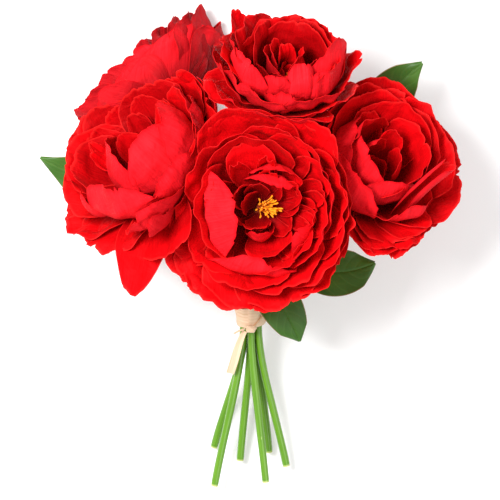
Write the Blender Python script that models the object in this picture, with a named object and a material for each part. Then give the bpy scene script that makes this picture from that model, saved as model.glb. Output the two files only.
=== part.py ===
"""A tied bunch of six fabric peonies, lying on its back.

+Z is up and the bunch lies on z = 0, flower heads towards +Y and cut stem
ends towards -Y.  The origin is under the middle of the bunch.

Each flower is built the way such flowers are made: a wire-cored plastic stem,
a green calyx on its top, and stamped fabric layers stacked on the calyx.  Each
layer is one piece of fabric with several petal lobes, heat-moulded into a bowl,
and each bowl nests in the next wider one.  A raffia strip ties the stems.
"""
import math

import bmesh
import bpy
from mathutils import Matrix, Vector

MM = 0.001

# ---------------------------------------------------------------- dimensions
GAP = 0.35 * MM                  # air between pieces that rest on each other

STEM_RADIUS = 2.35 * MM
STEM_STEP = 9.0 * MM             # distance between points along a stem
STEM_BEND = 20.0 * MM            # how gently a stem turns in under its flower
STEM_NECK = 2.5 * MM             # straight end that meets the calyx
TIE_RING = 5.1 * MM              # five stems stand on this ring round the sixth

FABRIC = 0.8 * MM                # thickness of a starched petal layer
HUB_RADIUS = 7.0 * MM            # flat middle of each fabric layer
LAYER_PITCH = 1.45 * MM          # each layer sits this far above the last

CALYX_HEIGHT = 9.0 * MM
CALYX_RADIUS = 6.5 * MM
CALYX_FOOT = 3.2 * MM

STAMEN_RADIUS = 5.5 * MM
STAMEN_HEIGHT = 9.0 * MM

LEAF_THICKNESS = 1.0 * MM
LEAF_STALK = 2.4 * MM            # width of a leaf's stalk
LEAF_TIP = 1.2 * MM
LEAF_ROWS = 8
LEAF_SEAT = 0.95 * MM            # from a stem's side to the middle of the stalk's end

WRAP_CLEARANCE = 0.4 * MM
WRAP_THICKNESS = 1.0 * MM
WRAP_LENGTH = 15.0 * MM
WRAP_FLARE = 1.8 * MM            # how much wider the wrap is at its upper end
WRAP_SIDES = 16

KNOT_SIZE = Vector((7.0, 5.0, 3.4)) * MM
KNOT_PLACE = Vector((0.6, -49.3, 44.4)) * MM
TAIL_THICKNESS = 0.6 * MM
TAIL_STEP = 4.0 * MM

# The tie holds the stems here; the bunch rises from the cut ends to the heads.
TIE_CENTRE = Vector((0.6, -40.0, 36.0)) * MM
BUNCH_RISE = math.radians(20.0)
BUNCH_AXIS = Vector((0.0, math.cos(BUNCH_RISE), math.sin(BUNCH_RISE)))

# Fabric layers, from the heart of a flower outwards.  radius and depth are the
# half axes of the bowl's elliptical side, turn is how far round that ellipse
# the petals reach, in degrees: past 90 they lean back in over the heart.
LAYERS = (
    dict(name="heart_petals", lobes=5, radius=16.0, depth=23.0, turn=92.0, notch=0.30, ruffle=0.8),
    dict(name="inner_petals", lobes=5, radius=26.0, depth=33.0, turn=94.0, notch=0.26, ruffle=1.4),
    dict(name="cup_petals", lobes=6, radius=39.0, depth=45.0, turn=92.0, notch=0.20, ruffle=1.6),
    dict(name="outer_petals", lobes=6, radius=51.0, depth=48.0, turn=84.0, notch=0.18, ruffle=1.8),
    dict(name="guard_petals", lobes=6, radius=66.0, depth=45.0, turn=74.0, notch=0.18, ruffle=2.0),
)
COLUMNS_PER_LOBE = 4
ROWS = 3

# Neighbouring flowers press on each other at a plane between them.  A flower's
# middle is this share of its guard radius above the calyx, and a petal starts
# to give way at FREE_SHARE of the way from the middle to the plane.
BALL_CENTRE = 0.38
FREE_SHARE = 0.62

# Each flower: its middle, where it faces, how large it is, how far it is spun
# about its own axis, its place in the tie in degrees round the bunch axis from
# +X (None for the stem in the middle), and where its stem is cut.
FLOWERS = (
    dict(name="front", middle=(4, 26, 120), faces=(-0.16, -0.03, 1.0), size=1.02, spin=10, slot=90,
         cut=(9.9, -145.5, 22)),
    dict(name="left", middle=(-66, 53, 88), faces=(-0.72, 0.42, 0.55), size=0.92, spin=35, slot=155,
         cut=(-22.3, -148.0, 16)),
    dict(name="right", middle=(78, 52, 90), faces=(0.28, 0.48, 0.83), size=0.88, spin=-20, slot=25,
         cut=(22.9, -135.5, 12)),
    dict(name="top", middle=(25, 112, 104), faces=(0.05, 0.72, 0.69), size=0.81, spin=5, slot=None,
         cut=(-6.2, -132.0, 9)),
    dict(name="back_left", middle=(-58, 101, 32), faces=(-0.62, 0.50, -0.60), size=0.87, spin=20,
         slot=230, cut=(-22.6, -124.0, 5.0)),
    dict(name="back_right", middle=(35, 62, 26), faces=(0.30, 0.42, -0.85), size=0.86, spin=0,
         slot=322, cut=(12.0, -127.0, 5.0)),
)


# Leaves, each growing from a flower's stem at a height along +Y and ending at
# tip.  bend is the middle control point, stalk the bare share of the length,
# fold how far the edges stand above the midrib as a share of the half width.
LEAVES = (
    dict(name="left_leaf", stem="left", height=16, bend=(-74, 26, 26), tip=(-131, 55, 36), up=(0, 0, 1),
         width=27, stalk=0.35, fold=0.2),
    dict(name="upper_right_leaf", stem="right", height=34, bend=(90, 62, 34), tip=(107, 116, 56), up=(0, 0, 1),
         width=24, stalk=0.25, fold=0.25),
    dict(name="lower_right_leaf", stem="right", height=-3, bend=(52, -16, 62), tip=(78, -8, 66), up=(0, 0, 1),
         width=30, stalk=0.15, fold=0.15),
    dict(name="bottom_leaf", stem="front", height=-14, bend=(16, -32, 66), tip=(32, -56, 58), up=(0, 0, 1),
         width=22, stalk=0.12, fold=0.2),
)

# The loose ends of the raffia, each a cubic curve away from the knot.
TAILS = (
    dict(name="raffia_long_tail", route=((-3.1, -50.6, 43.5), (-7, -56, 43.5), (-9, -68, 40), (-12.5, -77, 34)),
         width=3.2),
    dict(name="raffia_short_tail", route=((-3.0, -49, 46), (-5, -49.5, 47), (-8, -51, 47), (-10, -52, 45)),
         width=1.2),
)


# ------------------------------------------------------------------ materials
def make_material(name, colour, roughness):
    """A plain Principled material in a linear colour."""
    material = bpy.data.materials.new(name)
    material.use_nodes = True
    shader = material.node_tree.nodes["Principled BSDF"]
    shader.inputs["Base Color"].default_value = (*colour, 1.0)
    shader.inputs["Roughness"].default_value = roughness
    shader.inputs["Metallic"].default_value = 0.0
    return material


# ------------------------------------------------------------------- helpers
def add_object(name, data, material, parent=None):
    """Link a new object that holds the given mesh or curve."""
    obj = bpy.data.objects.new(name, data)
    bpy.context.collection.objects.link(obj)
    data.materials.append(material)
    obj.parent = parent
    return obj


def mesh_from(bm, name):
    """Turn a bmesh into a mesh with smooth faces."""
    bmesh.ops.recalc_face_normals(bm, faces=bm.faces)
    mesh = bpy.data.meshes.new(name)
    bm.to_mesh(mesh)
    bm.free()
    mesh.shade_smooth()
    return mesh


def solidify(obj, thickness):
    """Give a sheet its thickness, half to each side."""
    modifier = obj.modifiers.new("thickness", "SOLIDIFY")
    modifier.thickness = thickness
    modifier.offset = 0.0


def turned_mesh(name, profile, sides):
    """A closed turned body from (radius, height) points, first and last on the axis."""
    bm = bmesh.new()
    rings = []
    for radius, height in profile:
        if radius == 0.0:
            rings.append([bm.verts.new((0.0, 0.0, height))])
            continue
        angles = [2 * math.pi * i / sides for i in range(sides)]
        rings.append([bm.verts.new((radius * math.cos(a), radius * math.sin(a), height)) for a in angles])
    for lower, upper in zip(rings, rings[1:]):
        for i in range(sides):
            j = (i + 1) % sides
            if len(lower) == 1:
                bm.faces.new((lower[0], upper[j], upper[i]))
            elif len(upper) == 1:
                bm.faces.new((lower[i], lower[j], upper[0]))
            else:
                bm.faces.new((lower[i], lower[j], upper[j], upper[i]))
    return mesh_from(bm, name)


def tube(name, points, radius, material):
    """A round rod along a list of points, with filled ends."""
    curve = bpy.data.curves.new(name, "CURVE")
    curve.dimensions = "3D"
    curve.bevel_depth = radius
    curve.bevel_resolution = 2
    curve.use_fill_caps = True
    spline = curve.splines.new("POLY")
    spline.points.add(len(points) - 1)
    for point, place in zip(spline.points, points):
        point.co = (*place, 1.0)
    return add_object(name, curve, material)


def bezier_points(start, start_pull, end_pull, end, step):
    """Points along a cubic curve, about one step apart."""
    count = max(3, round((end - start).length / step))
    points = []
    for i in range(count + 1):
        t = i / count
        s = 1.0 - t
        points.append(start * s**3 + start_pull * 3 * s * s * t + end_pull * 3 * s * t * t + end * t**3)
    return points


# -------------------------------------------------------------------- flowers
def facing(flower):
    """The way a flower faces, as a unit vector."""
    return Vector(flower["faces"]).normalized()


def guard_radius(flower):
    """How far a flower's widest petals reach from its axis."""
    return LAYERS[-1]["radius"] * flower["size"] * MM


def calyx_top(flower):
    """The place where a flower's lowest petals sit on its calyx."""
    return Vector(flower["middle"]) * MM - facing(flower) * BALL_CENTRE * guard_radius(flower)


def flower_empty(flower):
    """An empty on the calyx top whose +Z is the way the flower faces."""
    empty = bpy.data.objects.new(flower["name"] + "_flower", None)
    bpy.context.collection.objects.link(empty)
    turn = facing(flower).to_track_quat("Z", "Y") @ Matrix.Rotation(
        math.radians(flower["spin"]), 3, "Z").to_quaternion()
    empty.rotation_mode = "QUATERNION"
    empty.rotation_quaternion = turn
    empty.location = calyx_top(flower)
    return empty


def meeting_planes(flower):
    """Each plane that a flower presses on: its direction and distance from the flower's middle.

    There is one plane for each neighbour, and one for the surface underneath.
    """
    centre = Vector(flower["middle"]) * MM
    radius = guard_radius(flower)
    planes = []
    for other in FLOWERS:
        if other is flower:
            continue
        apart = Vector(other["middle"]) * MM - centre
        reach = (apart.length_squared + radius**2 - guard_radius(other) ** 2) / (2 * apart.length)
        planes.append((apart.normalized(), reach - (FABRIC + GAP) / 2))
    planes.append((Vector((0.0, 0.0, -1.0)), centre.z - FABRIC / 2))
    return centre, planes


def pressed(place, centre, planes):
    """Pull a point back towards its flower where a neighbour is in its way.

    The pull grows smoothly with distance and keeps the order of the layers, so
    that nested petals are pressed closer together and never pass through.
    """
    ray = place - centre
    share = max(ray.dot(direction) / reach for direction, reach in planes)
    if share <= FREE_SHARE:
        return place
    room = 1.0 - FREE_SHARE
    eased = FREE_SHARE + room * (1.0 - math.exp(-(share - FREE_SHARE) / room))
    return centre + ray * (eased / share)


def petal_layer(flower, order, empty, material):
    """One stamped fabric layer: a flat hub and a ring of petal lobes in a bowl."""
    layer = LAYERS[order]
    lobes = layer["lobes"]
    columns = lobes * COLUMNS_PER_LOBE
    hub_height = (len(LAYERS) - 1 - order) * LAYER_PITCH + GAP + FABRIC / 2
    radius = layer["radius"] * flower["size"] * MM
    depth = layer["depth"] * flower["size"] * MM
    centre, planes = meeting_planes(flower)
    to_world = Matrix.LocRotScale(empty.location, empty.rotation_quaternion, None)
    to_local = to_world.inverted()
    bm = bmesh.new()
    rows = [[bm.verts.new((0.0, 0.0, hub_height))]]
    for row in range(ROWS + 1):
        along = row / ROWS
        ring = []
        for column in range(columns):
            petal = column / COLUMNS_PER_LOBE
            lobe = abs(math.sin(math.pi * petal)) ** 0.7
            length = 1.0 + 0.05 * math.sin(2.4 * math.floor(petal) + 1.7 * order)
            reach = length * (1.0 - layer["notch"] * (1.0 - lobe))
            sweep = math.radians(layer["turn"]) * reach * along
            angle = 2 * math.pi * (petal + 0.5 * order) / lobes
            ruffle = layer["ruffle"] * MM * along**2 * math.sin(angle * (lobes - 1) * 2 + order)
            out = HUB_RADIUS + (radius - HUB_RADIUS) * math.sin(sweep) + ruffle
            up = hub_height + depth * (1.0 - math.cos(sweep))
            place = to_world @ Vector((out * math.cos(angle), out * math.sin(angle), up))
            ring.append(bm.verts.new(to_local @ pressed(place, centre, planes)))
        rows.append(ring)
    for j in range(columns):
        k = (j + 1) % columns
        bm.faces.new((rows[0][0], rows[1][j], rows[1][k]))
        for lower, upper in zip(rows[1:], rows[2:]):
            bm.faces.new((lower[j], upper[j], upper[k], lower[k]))
    name = flower["name"] + "_" + layer["name"]
    obj = add_object(name, mesh_from(bm, name), material, empty)
    solidify(obj, FABRIC)
    return obj


def calyx(flower, empty, material):
    """The green cup under the petals, with the stem against its foot."""
    profile = ((0.0, -CALYX_HEIGHT), (CALYX_FOOT, -CALYX_HEIGHT), (CALYX_RADIUS, -0.35 * CALYX_HEIGHT),
               (CALYX_RADIUS, 0.0), (0.0, 0.0))
    name = flower["name"] + "_calyx"
    return add_object(name, turned_mesh(name, profile, 10), material, empty)


def stamens(flower, empty, material):
    """The bundle of stamens, a tapered tuft standing on the innermost layer."""
    foot = len(LAYERS) * LAYER_PITCH + GAP
    profile = ((0.0, foot), (0.45 * STAMEN_RADIUS, foot), (STAMEN_RADIUS, foot + 0.8 * STAMEN_HEIGHT),
               (0.7 * STAMEN_RADIUS, foot + STAMEN_HEIGHT), (0.0, foot + 0.9 * STAMEN_HEIGHT))
    name = flower["name"] + "_stamens"
    return add_object(name, turned_mesh(name, profile, 9), material, empty)


def tie_place(flower, along):
    """Where a stem is in the tie, at a distance along the bunch axis from its middle."""
    across = Vector((1.0, 0.0, 0.0))
    front = across.cross(BUNCH_AXIS)
    place = TIE_CENTRE + BUNCH_AXIS * along
    if flower["slot"] is None:
        return place
    angle = math.radians(flower["slot"])
    return place + TIE_RING * (across * math.cos(angle) + front * math.sin(angle))


def stem_points(flower):
    """A stem's middle line, from its cut end through the tie to the calyx foot."""
    cut = Vector(flower["cut"]) * MM
    low = tie_place(flower, -0.5 * WRAP_LENGTH)
    high = tie_place(flower, 0.5 * WRAP_LENGTH)
    faces = facing(flower)
    top = calyx_top(flower) - faces * (CALYX_HEIGHT + GAP)
    below = bezier_points(cut, cut.lerp(low, 0.4), low - BUNCH_AXIS * 25 * MM, low, STEM_STEP)
    reach = (top - high).length
    neck = top - faces * STEM_NECK
    above = bezier_points(high, high + BUNCH_AXIS * 0.3 * reach, neck - faces * STEM_BEND, neck, STEM_STEP)
    return below + above + [top]


def stem(flower, material):
    """A round plastic stem."""
    return tube(flower["name"] + "_stem", stem_points(flower), STEM_RADIUS, material)


# --------------------------------------------------------------------- leaves
def leaf_root(spec, bend):
    """Where a leaf's stalk meets its stem, just off the stem's side that faces the leaf."""
    flower = next(flower for flower in FLOWERS if flower["name"] == spec["stem"])
    points = stem_points(flower)
    near = min(range(1, len(points) - 1), key=lambda i: abs(points[i].y - spec["height"] * MM))
    along = (points[near + 1] - points[near - 1]).normalized()
    towards = bend - points[near]
    towards = (towards - along * towards.dot(along)).normalized()
    return points[near] + towards * (STEM_RADIUS + LEAF_SEAT)


def leaf(spec, material):
    """A leaf blade on its stalk: one sheet, narrow along the stalk and wide along the blade."""
    bend, tip = (Vector(point) * MM for point in (spec["bend"], spec["tip"]))
    root = leaf_root(spec, bend)
    up = Vector(spec["up"]).normalized()
    bm = bmesh.new()
    rows = []
    for row in range(LEAF_ROWS + 1):
        t = row / LEAF_ROWS
        middle = root * (1 - t) ** 2 + bend * 2 * t * (1 - t) + tip * t**2
        heading = ((bend - root) * (1 - t) + (tip - bend) * t).normalized()
        across = heading.cross(up).normalized()
        normal = across.cross(heading)
        blade = max(0.0, (t - spec["stalk"]) / (1.0 - spec["stalk"]))
        half = max(LEAF_STALK / 2, spec["width"] * MM / 2 * math.sin(math.pi * blade**0.8) ** 0.8)
        if row == LEAF_ROWS:
            half = LEAF_TIP / 2
        fold = spec["fold"] * half
        rows.append([bm.verts.new(middle + across * half * side + normal * fold * abs(side))
                     for side in (-1.0, -0.5, 0.0, 0.5, 1.0)])
    for lower, upper in zip(rows, rows[1:]):
        for i in range(len(lower) - 1):
            bm.faces.new((lower[i], lower[i + 1], upper[i + 1], upper[i]))
    obj = add_object(spec["name"], mesh_from(bm, spec["name"]), material)
    solidify(obj, LEAF_THICKNESS)
    return obj


# ----------------------------------------------------------------- raffia tie
def wrap(material):
    """The raffia wound round the stems: a sleeve that flares towards the flowers."""
    inner = TIE_RING + STEM_RADIUS + WRAP_CLEARANCE
    outer = inner + WRAP_THICKNESS
    half = WRAP_LENGTH / 2
    bm = bmesh.new()
    profile = ((inner, -half), (outer, -half), (outer + 0.2 * MM, 0.0), (outer + WRAP_FLARE, half),
               (inner + WRAP_FLARE, half), (inner + 0.2 * MM, 0.0))
    rings = []
    for radius, height in profile:
        angles = [2 * math.pi * i / WRAP_SIDES for i in range(WRAP_SIDES)]
        rings.append([bm.verts.new((radius * math.cos(a), radius * math.sin(a), height)) for a in angles])
    for lower, upper in zip(rings, rings[1:] + rings[:1]):
        for i in range(WRAP_SIDES):
            j = (i + 1) % WRAP_SIDES
            bm.faces.new((lower[i], lower[j], upper[j], upper[i]))
    obj = add_object("raffia_wrap", mesh_from(bm, "raffia_wrap"), material)
    obj.rotation_euler = (BUNCH_RISE - math.pi / 2, 0.0, 0.0)
    obj.location = TIE_CENTRE
    return obj


def ribbon(name, points, width, thickness, material):
    """A flat strip along a list of points, lying face up."""
    bm = bmesh.new()
    rows = []
    for i, place in enumerate(points):
        ahead = points[min(i + 1, len(points) - 1)] - points[max(i - 1, 0)]
        across = ahead.cross(Vector((0.0, 0.0, 1.0))).normalized() * width / 2
        rows.append([bm.verts.new(place - across), bm.verts.new(place + across)])
    for lower, upper in zip(rows, rows[1:]):
        bm.faces.new((lower[0], lower[1], upper[1], upper[0]))
    obj = add_object(name, mesh_from(bm, name), material)
    solidify(obj, thickness)
    return obj


def knot(material):
    """The knot on the front of the wrap, a small flattened ball."""
    bm = bmesh.new()
    bmesh.ops.create_icosphere(bm, subdivisions=2, radius=1.0)
    bmesh.ops.scale(bm, verts=bm.verts, vec=KNOT_SIZE / 2)
    obj = add_object("raffia_knot", mesh_from(bm, "raffia_knot"), material)
    obj.location = KNOT_PLACE
    return obj


# ------------------------------------------------------------------- assembly
def centre_on_origin():
    """Move the whole bunch so that the origin is under its middle and it lies on z = 0."""
    bpy.context.view_layer.update()
    graph = bpy.context.evaluated_depsgraph_get()
    corners = []
    for obj in bpy.data.objects:
        if obj.type != "EMPTY":
            mesh = obj.evaluated_get(graph).to_mesh()
            corners += [obj.matrix_world @ vertex.co for vertex in mesh.vertices]
            obj.evaluated_get(graph).to_mesh_clear()
    low = Vector(min(corner[i] for corner in corners) for i in range(3))
    high = Vector(max(corner[i] for corner in corners) for i in range(3))
    shift = Vector(((low.x + high.x) / 2, (low.y + high.y) / 2, low.z))
    for obj in bpy.data.objects:
        if obj.parent is None:
            obj.location -= shift


def build():
    """Make every piece of the bunch."""
    for obj in list(bpy.data.objects):
        bpy.data.objects.remove(obj, do_unlink=True)
    petal_red = make_material("petal_fabric", (0.80, 0.004, 0.012), 0.75)
    stem_green = make_material("stem_plastic", (0.15, 0.40, 0.05), 0.35)
    leaf_green = make_material("leaf_plastic", (0.03, 0.14, 0.03), 0.40)
    stamen_yellow = make_material("stamen_plastic", (0.80, 0.25, 0.01), 0.6)
    raffia_cream = make_material("raffia", (0.85, 0.66, 0.43), 0.7)
    for flower in FLOWERS:
        empty = flower_empty(flower)
        for order in range(len(LAYERS)):
            petal_layer(flower, order, empty, petal_red)
        calyx(flower, empty, stem_green)
        stamens(flower, empty, stamen_yellow)
        stem(flower, stem_green)
    for spec in LEAVES:
        leaf(spec, leaf_green)
    wrap(raffia_cream)
    knot(raffia_cream)
    for spec in TAILS:
        points = bezier_points(*(Vector(point) * MM for point in spec["route"]), TAIL_STEP)
        ribbon(spec["name"], points, spec["width"] * MM, TAIL_THICKNESS, raffia_cream)
    centre_on_origin()


build()
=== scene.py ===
# %% [markdown]
# # A bunch of fabric peonies
#
# Six artificial peonies lie on a pale table, seen from above.  Their petals are
# stamped from thin polyester cloth and pressed hot over round moulds, the stems
# and leaves are plastic, and a strip of raffia ties them.  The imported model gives
# every piece its place; this lesson gives each one its true surface.
#
# Blender could sculpt such petals by hand, or drape cloth over moulds.  A petal
# is really one curved sheet with a few habits, how far it bends, cups, curls and
# ruffles, so one function with those habits as arguments makes them all.

# %% Load the frame
import copy
import math

import bpy
import numpy as np
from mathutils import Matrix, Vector


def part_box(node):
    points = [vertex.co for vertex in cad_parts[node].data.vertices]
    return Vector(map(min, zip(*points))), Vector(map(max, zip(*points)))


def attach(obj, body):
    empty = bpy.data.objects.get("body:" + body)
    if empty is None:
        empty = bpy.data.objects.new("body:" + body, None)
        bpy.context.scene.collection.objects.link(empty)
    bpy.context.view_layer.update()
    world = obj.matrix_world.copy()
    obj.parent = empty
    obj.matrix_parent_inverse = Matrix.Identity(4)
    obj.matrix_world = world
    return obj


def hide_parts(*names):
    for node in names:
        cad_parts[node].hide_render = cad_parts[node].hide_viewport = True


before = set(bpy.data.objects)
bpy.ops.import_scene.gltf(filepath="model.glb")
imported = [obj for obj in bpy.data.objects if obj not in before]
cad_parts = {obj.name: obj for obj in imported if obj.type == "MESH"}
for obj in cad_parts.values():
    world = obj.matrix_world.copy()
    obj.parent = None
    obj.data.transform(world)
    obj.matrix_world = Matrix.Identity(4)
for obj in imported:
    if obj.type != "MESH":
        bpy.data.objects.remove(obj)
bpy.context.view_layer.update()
MM = 0.001

# %% [markdown]
# ## Where things are
#
# The knot of the tie is a small symmetric solid, so the middle of its box is a
# sure mark.  Every place below counts from the bunch's own reference point, in
# millimetres, and the knot says where that point lies in the frame.

# %% Find the reference point from the knot
KNOT_PLACE = np.array((0.6, -49.3, 44.4))
knot_low, knot_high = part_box("raffia_knot")
bunch_origin = (np.array(knot_low) + np.array(knot_high)) / 2 / MM - KNOT_PLACE


def node_points(node):
    """The corner points of a frame node, in millimetres from the reference point."""
    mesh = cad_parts[node].data
    flat = np.empty(len(mesh.vertices) * 3)
    mesh.vertices.foreach_get("co", flat)
    return flat.reshape(-1, 3) / MM - bunch_origin


def unit(vector):
    """A vector, or a grid of vectors, made one unit long."""
    vector = np.asarray(vector, float)
    return vector / np.maximum(np.linalg.norm(vector, axis=-1, keepdims=True), 1e-9)


print("reference point in mm:", bunch_origin.round(2))

# %% [markdown]
# ## The way each flower faces
#
# A flower's calyx and its tuft of stamens stand on one line, so the two nodes
# give the flower's axis.  Angles round that axis are read as on a clock face
# looked into from the front: 0 is towards the stems, 90 is to the right.

# %% Read each flower's axis
GUARD_RADIUS = 66.0      # how far a full-size flower's widest petals reach
BALL_CENTRE = 0.38       # a flower's middle stands this share of that above the calyx
FLOWER_SIZES = {
    "front": 1.02, "left": 0.92, "right": 0.88, "top": 0.81, "back_left": 0.87, "back_right": 0.86,
}


class Flower:
    """A flower's place, its axis and the two directions square to it."""

    def __init__(self, name, size):
        calyx = node_points(name + "_calyx")
        self.name = name
        self.size = size
        self.axis = unit(node_points(name + "_stamens").mean(0) - calyx.mean(0))
        self.top = calyx.mean(0) + self.axis * ((calyx - calyx.mean(0)) @ self.axis).max()
        self.radius = GUARD_RADIUS * size
        self.middle = self.top + self.axis * BALL_CENTRE * self.radius
        self.planes = []
        self.face(self.axis)

    def face(self, axis):
        """Turn the flower to face along an axis."""
        stems_way = np.array((0.0, -1.0, 0.0))
        self.axis = unit(np.array(axis, float))
        self.down = unit(stems_way - self.axis * (stems_way @ self.axis))
        self.right = np.cross(self.axis, self.down)

    def facing(self, axis):
        """A copy of the flower that faces another way from the same calyx."""
        other = copy.copy(self)
        other.face(axis)
        return other


flowers = {name: Flower(name, size) for name, size in FLOWER_SIZES.items()}
for flower in flowers.values():
    print(flower.name, "faces", flower.axis.round(2), "from", flower.top.round(1))

# %% [markdown]
# ## Flowers that press on each other
#
# Soft flowers in a tight bunch flatten where they meet, and their petals never
# pass through each other.  Each pair of neighbours meets at a plane, and the
# table is one more plane.  A point that reaches past FREE_SHARE of the way to a
# plane is eased back, so petals crowd up to the plane without crossing it.

# %% Find the meeting planes
FREE_SHARE = 0.8
MESHING = 5.0            # mm that the petals of neighbours may reach in between each other
TABLE_MARGIN = 0.6


def find_planes(flower):
    """The direction and distance of each plane a flower presses on, from its middle."""
    planes = []
    for other in flowers.values():
        if other is not flower:
            apart = other.middle - flower.middle
            length = np.linalg.norm(apart)
            reach = (length**2 + flower.radius**2 - other.radius**2) / (2 * length)
            planes.append((apart / length, reach + MESHING))
    height = flower.middle[2] + bunch_origin[2]
    planes.append((np.array((0.0, 0.0, -1.0)), height - TABLE_MARGIN))
    return planes


def pressed(points, flower, free=False):
    """Ease points back towards their flower where a neighbour or the table is in the way.

    A free petal lies over or under its neighbours, so only the table stops it.
    """
    ray = points - flower.middle
    planes = flower.planes[-1:] if free else flower.planes
    share = np.max([ray @ direction / reach for direction, reach in planes], axis=0)
    room = 1.0 - FREE_SHARE
    eased = FREE_SHARE + room * (1.0 - np.exp(-np.maximum(share - FREE_SHARE, 0.0) / room))
    scale = np.where(share > FREE_SHARE, eased / np.maximum(share, FREE_SHARE), 1.0)
    return flower.middle + ray * scale[..., None]


for flower in flowers.values():
    flower.planes = find_planes(flower)
    nearest = min(reach for _, reach in flower.planes)
    print(flower.name, "has", round(nearest, 1), "mm to its nearest plane")

# %% [markdown]
# ## Colours and nodes
#
# Colours are written as sRGB hex, the way paint and cloth are matched by eye,
# and one function turns them to the linear values that shaders add up.  Another
# adds any shader node with its settings and its links.  Where a link starts at a
# node, it starts at the first output that the node shows.

# %% Helpers for materials
def linear(hex_colour):
    """An sRGB colour such as #e0101a as linear red, green, blue and alpha."""
    values = [int(hex_colour[i:i + 2], 16) / 255 for i in (1, 3, 5)]
    return [v / 12.92 if v <= 0.04045 else ((v + 0.055) / 1.055) ** 2.4 for v in values] + [1.0]


def set_inputs(material, node, inputs):
    """Give a node's inputs plain values or hex colours, or link them to sockets or nodes."""
    for name, value in inputs.items():
        socket = next(socket for socket in node.inputs if socket.enabled and socket.name == name)
        if isinstance(value, bpy.types.Node):
            value = next(output for output in value.outputs if output.enabled)
        if isinstance(value, bpy.types.NodeSocket):
            material.node_tree.links.new(value, socket)
        else:
            socket.default_value = linear(value) if isinstance(value, str) else value


def add_node(material, kind, inputs=None, **settings):
    """Add a shader node with its settings and its inputs."""
    node = material.node_tree.nodes.new("ShaderNode" + kind)
    for name, value in settings.items():
        setattr(node, name, value)
    set_inputs(material, node, inputs or {})
    return node


def new_material(name):
    """An empty node material and its shader, whose own sockets hold what is constant."""
    material = bpy.data.materials.new(name)
    material.use_nodes = True
    return material, material.node_tree.nodes["Principled BSDF"]


# %% [markdown]
# ## Petal cloth
#
# The petals are plain-woven polyester, starched, stamped to shape and pressed
# over a hot mould.  The weave is finer than the eye sees from here, but the
# mould leaves fine ribs that fan out from the base of each petal, about a
# millimetre apart, and the press leaves soft crinkles, whose hollows are painted
# darker as painted shade.  The inside of a petal is painted the deeper red as
# painted shade, and the outside a lighter coral as painted light for the light
# that it catches.  The cut edges are frayed, and along the rim the inside is
# painted paler as a painted highlight and the outside darker as painted shade.
# Dyed cloth has hardly any mirror shine, so the specular level is low, and a
# little sheen stands for the fibre ends.

# %% Heat-pressed polyester
RIB_SPACING = 1.1        # mm between the pressed ribs
RIB_LENGTH = 16.0        # mm before a rib fades
CRINKLE = 8.0            # mm across the soft crinkles left by the press
HOLLOW_SHADE = 0.86      # painted shade: how much of its colour the cloth keeps in the hollow of a crinkle
RIM_PAINT_STARTS = 0.86       # share of the way to the rim where the painted rim highlight and shade begin
RIM_PAINT_BLEND = 0.55        # how strongly the painted rim highlight and shade show at the very rim


def petal_cloth():
    """Red polyester with ribs and crinkles, and painted light: a shaded inside, a lit coral outside, shaded
    hollows, a pale inner rim and a dark outer rim.
    """
    material, shader = new_material("heat_pressed_polyester")
    where = add_node(material, "Attribute", attribute_name="petal_at").outputs["Vector"]
    look = add_node(material, "Attribute", attribute_name="petal_look").outputs["Vector"]
    look = add_node(material, "SeparateXYZ", {"Vector": look})
    outside, edge, tone = (look.outputs[axis] for axis in "XYZ")
    ribs_at = add_node(material, "Mapping", {
        "Vector": where, "Scale": (1 / RIB_SPACING, 1 / RIB_LENGTH, 1.0)})
    ribs = add_node(material, "TexNoise", {
        "Vector": ribs_at, "Scale": 1.0, "Detail": 3.0, "Roughness": 0.6})
    crinkles_at = add_node(material, "Mapping", {
        "Vector": where, "Scale": (1 / CRINKLE, 1 / CRINKLE, 1.0)})
    crinkles = add_node(material, "TexNoise", {
        "Vector": crinkles_at, "Scale": 1.0, "Detail": 2.0, "Distortion": 0.6})
    # Painted light: the inside is a deeper red as painted shade, the outside a lighter coral as painted
    # light.
    shaded_inside_red = add_node(material, "Mix", {
        "Factor": ribs, "A": "#bc0006", "B": "#fc0812"}, data_type="RGBA")
    lit_outside_red = add_node(material, "Mix", {
        "Factor": ribs, "A": "#d00612", "B": "#ff2430"}, data_type="RGBA")
    red = add_node(material, "Mix", {"Factor": outside, "A": shaded_inside_red, "B": lit_outside_red}, data_type="RGBA")
    # Painted shade: the red darkens in the hollows of the crinkles.
    hollows = add_node(material, "MapRange", {
        "Value": crinkles, "From Min": 0.35, "From Max": 0.65, "To Min": HOLLOW_SHADE, "To Max": 1.0})
    for shade in (tone, hollows):
        red = add_node(material, "Mix", {"Factor": 1.0, "A": red, "B": shade},
                       data_type="RGBA", blend_type="MULTIPLY")
    # Painted light at the rim: the inside is painted paler as a highlight, the outside darker as shade.
    frayed = add_node(material, "MapRange", {
        "Value": edge, "From Min": RIM_PAINT_STARTS, "From Max": 1.0, "To Min": 0.0, "To Max": RIM_PAINT_BLEND},
        interpolation_type="SMOOTHSTEP")
    rim_light_and_shade = add_node(material, "Mix", {"Factor": outside, "A": "#ff2a28", "B": "#c4000c"}, data_type="RGBA")
    colour = add_node(material, "Mix", {"Factor": frayed, "A": red, "B": rim_light_and_shade}, data_type="RGBA")
    pressed_ribs = add_node(material, "Bump", {"Height": ribs, "Strength": 0.8, "Distance": 0.5 * MM})
    relief = add_node(material, "Bump", {
        "Height": crinkles, "Strength": 0.7, "Distance": 1.6 * MM, "Normal": pressed_ribs})
    set_inputs(material, shader, {
        "Base Color": colour, "Normal": relief, "Roughness": 0.62, "Specular IOR Level": 0.06,
        "Sheen Weight": 0.04, "Sheen Roughness": 0.45, "Sheen Tint": "#ff5a50"})
    return material


red_cloth = petal_cloth()
print("petal cloth has", len(red_cloth.node_tree.nodes), "nodes")

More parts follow.
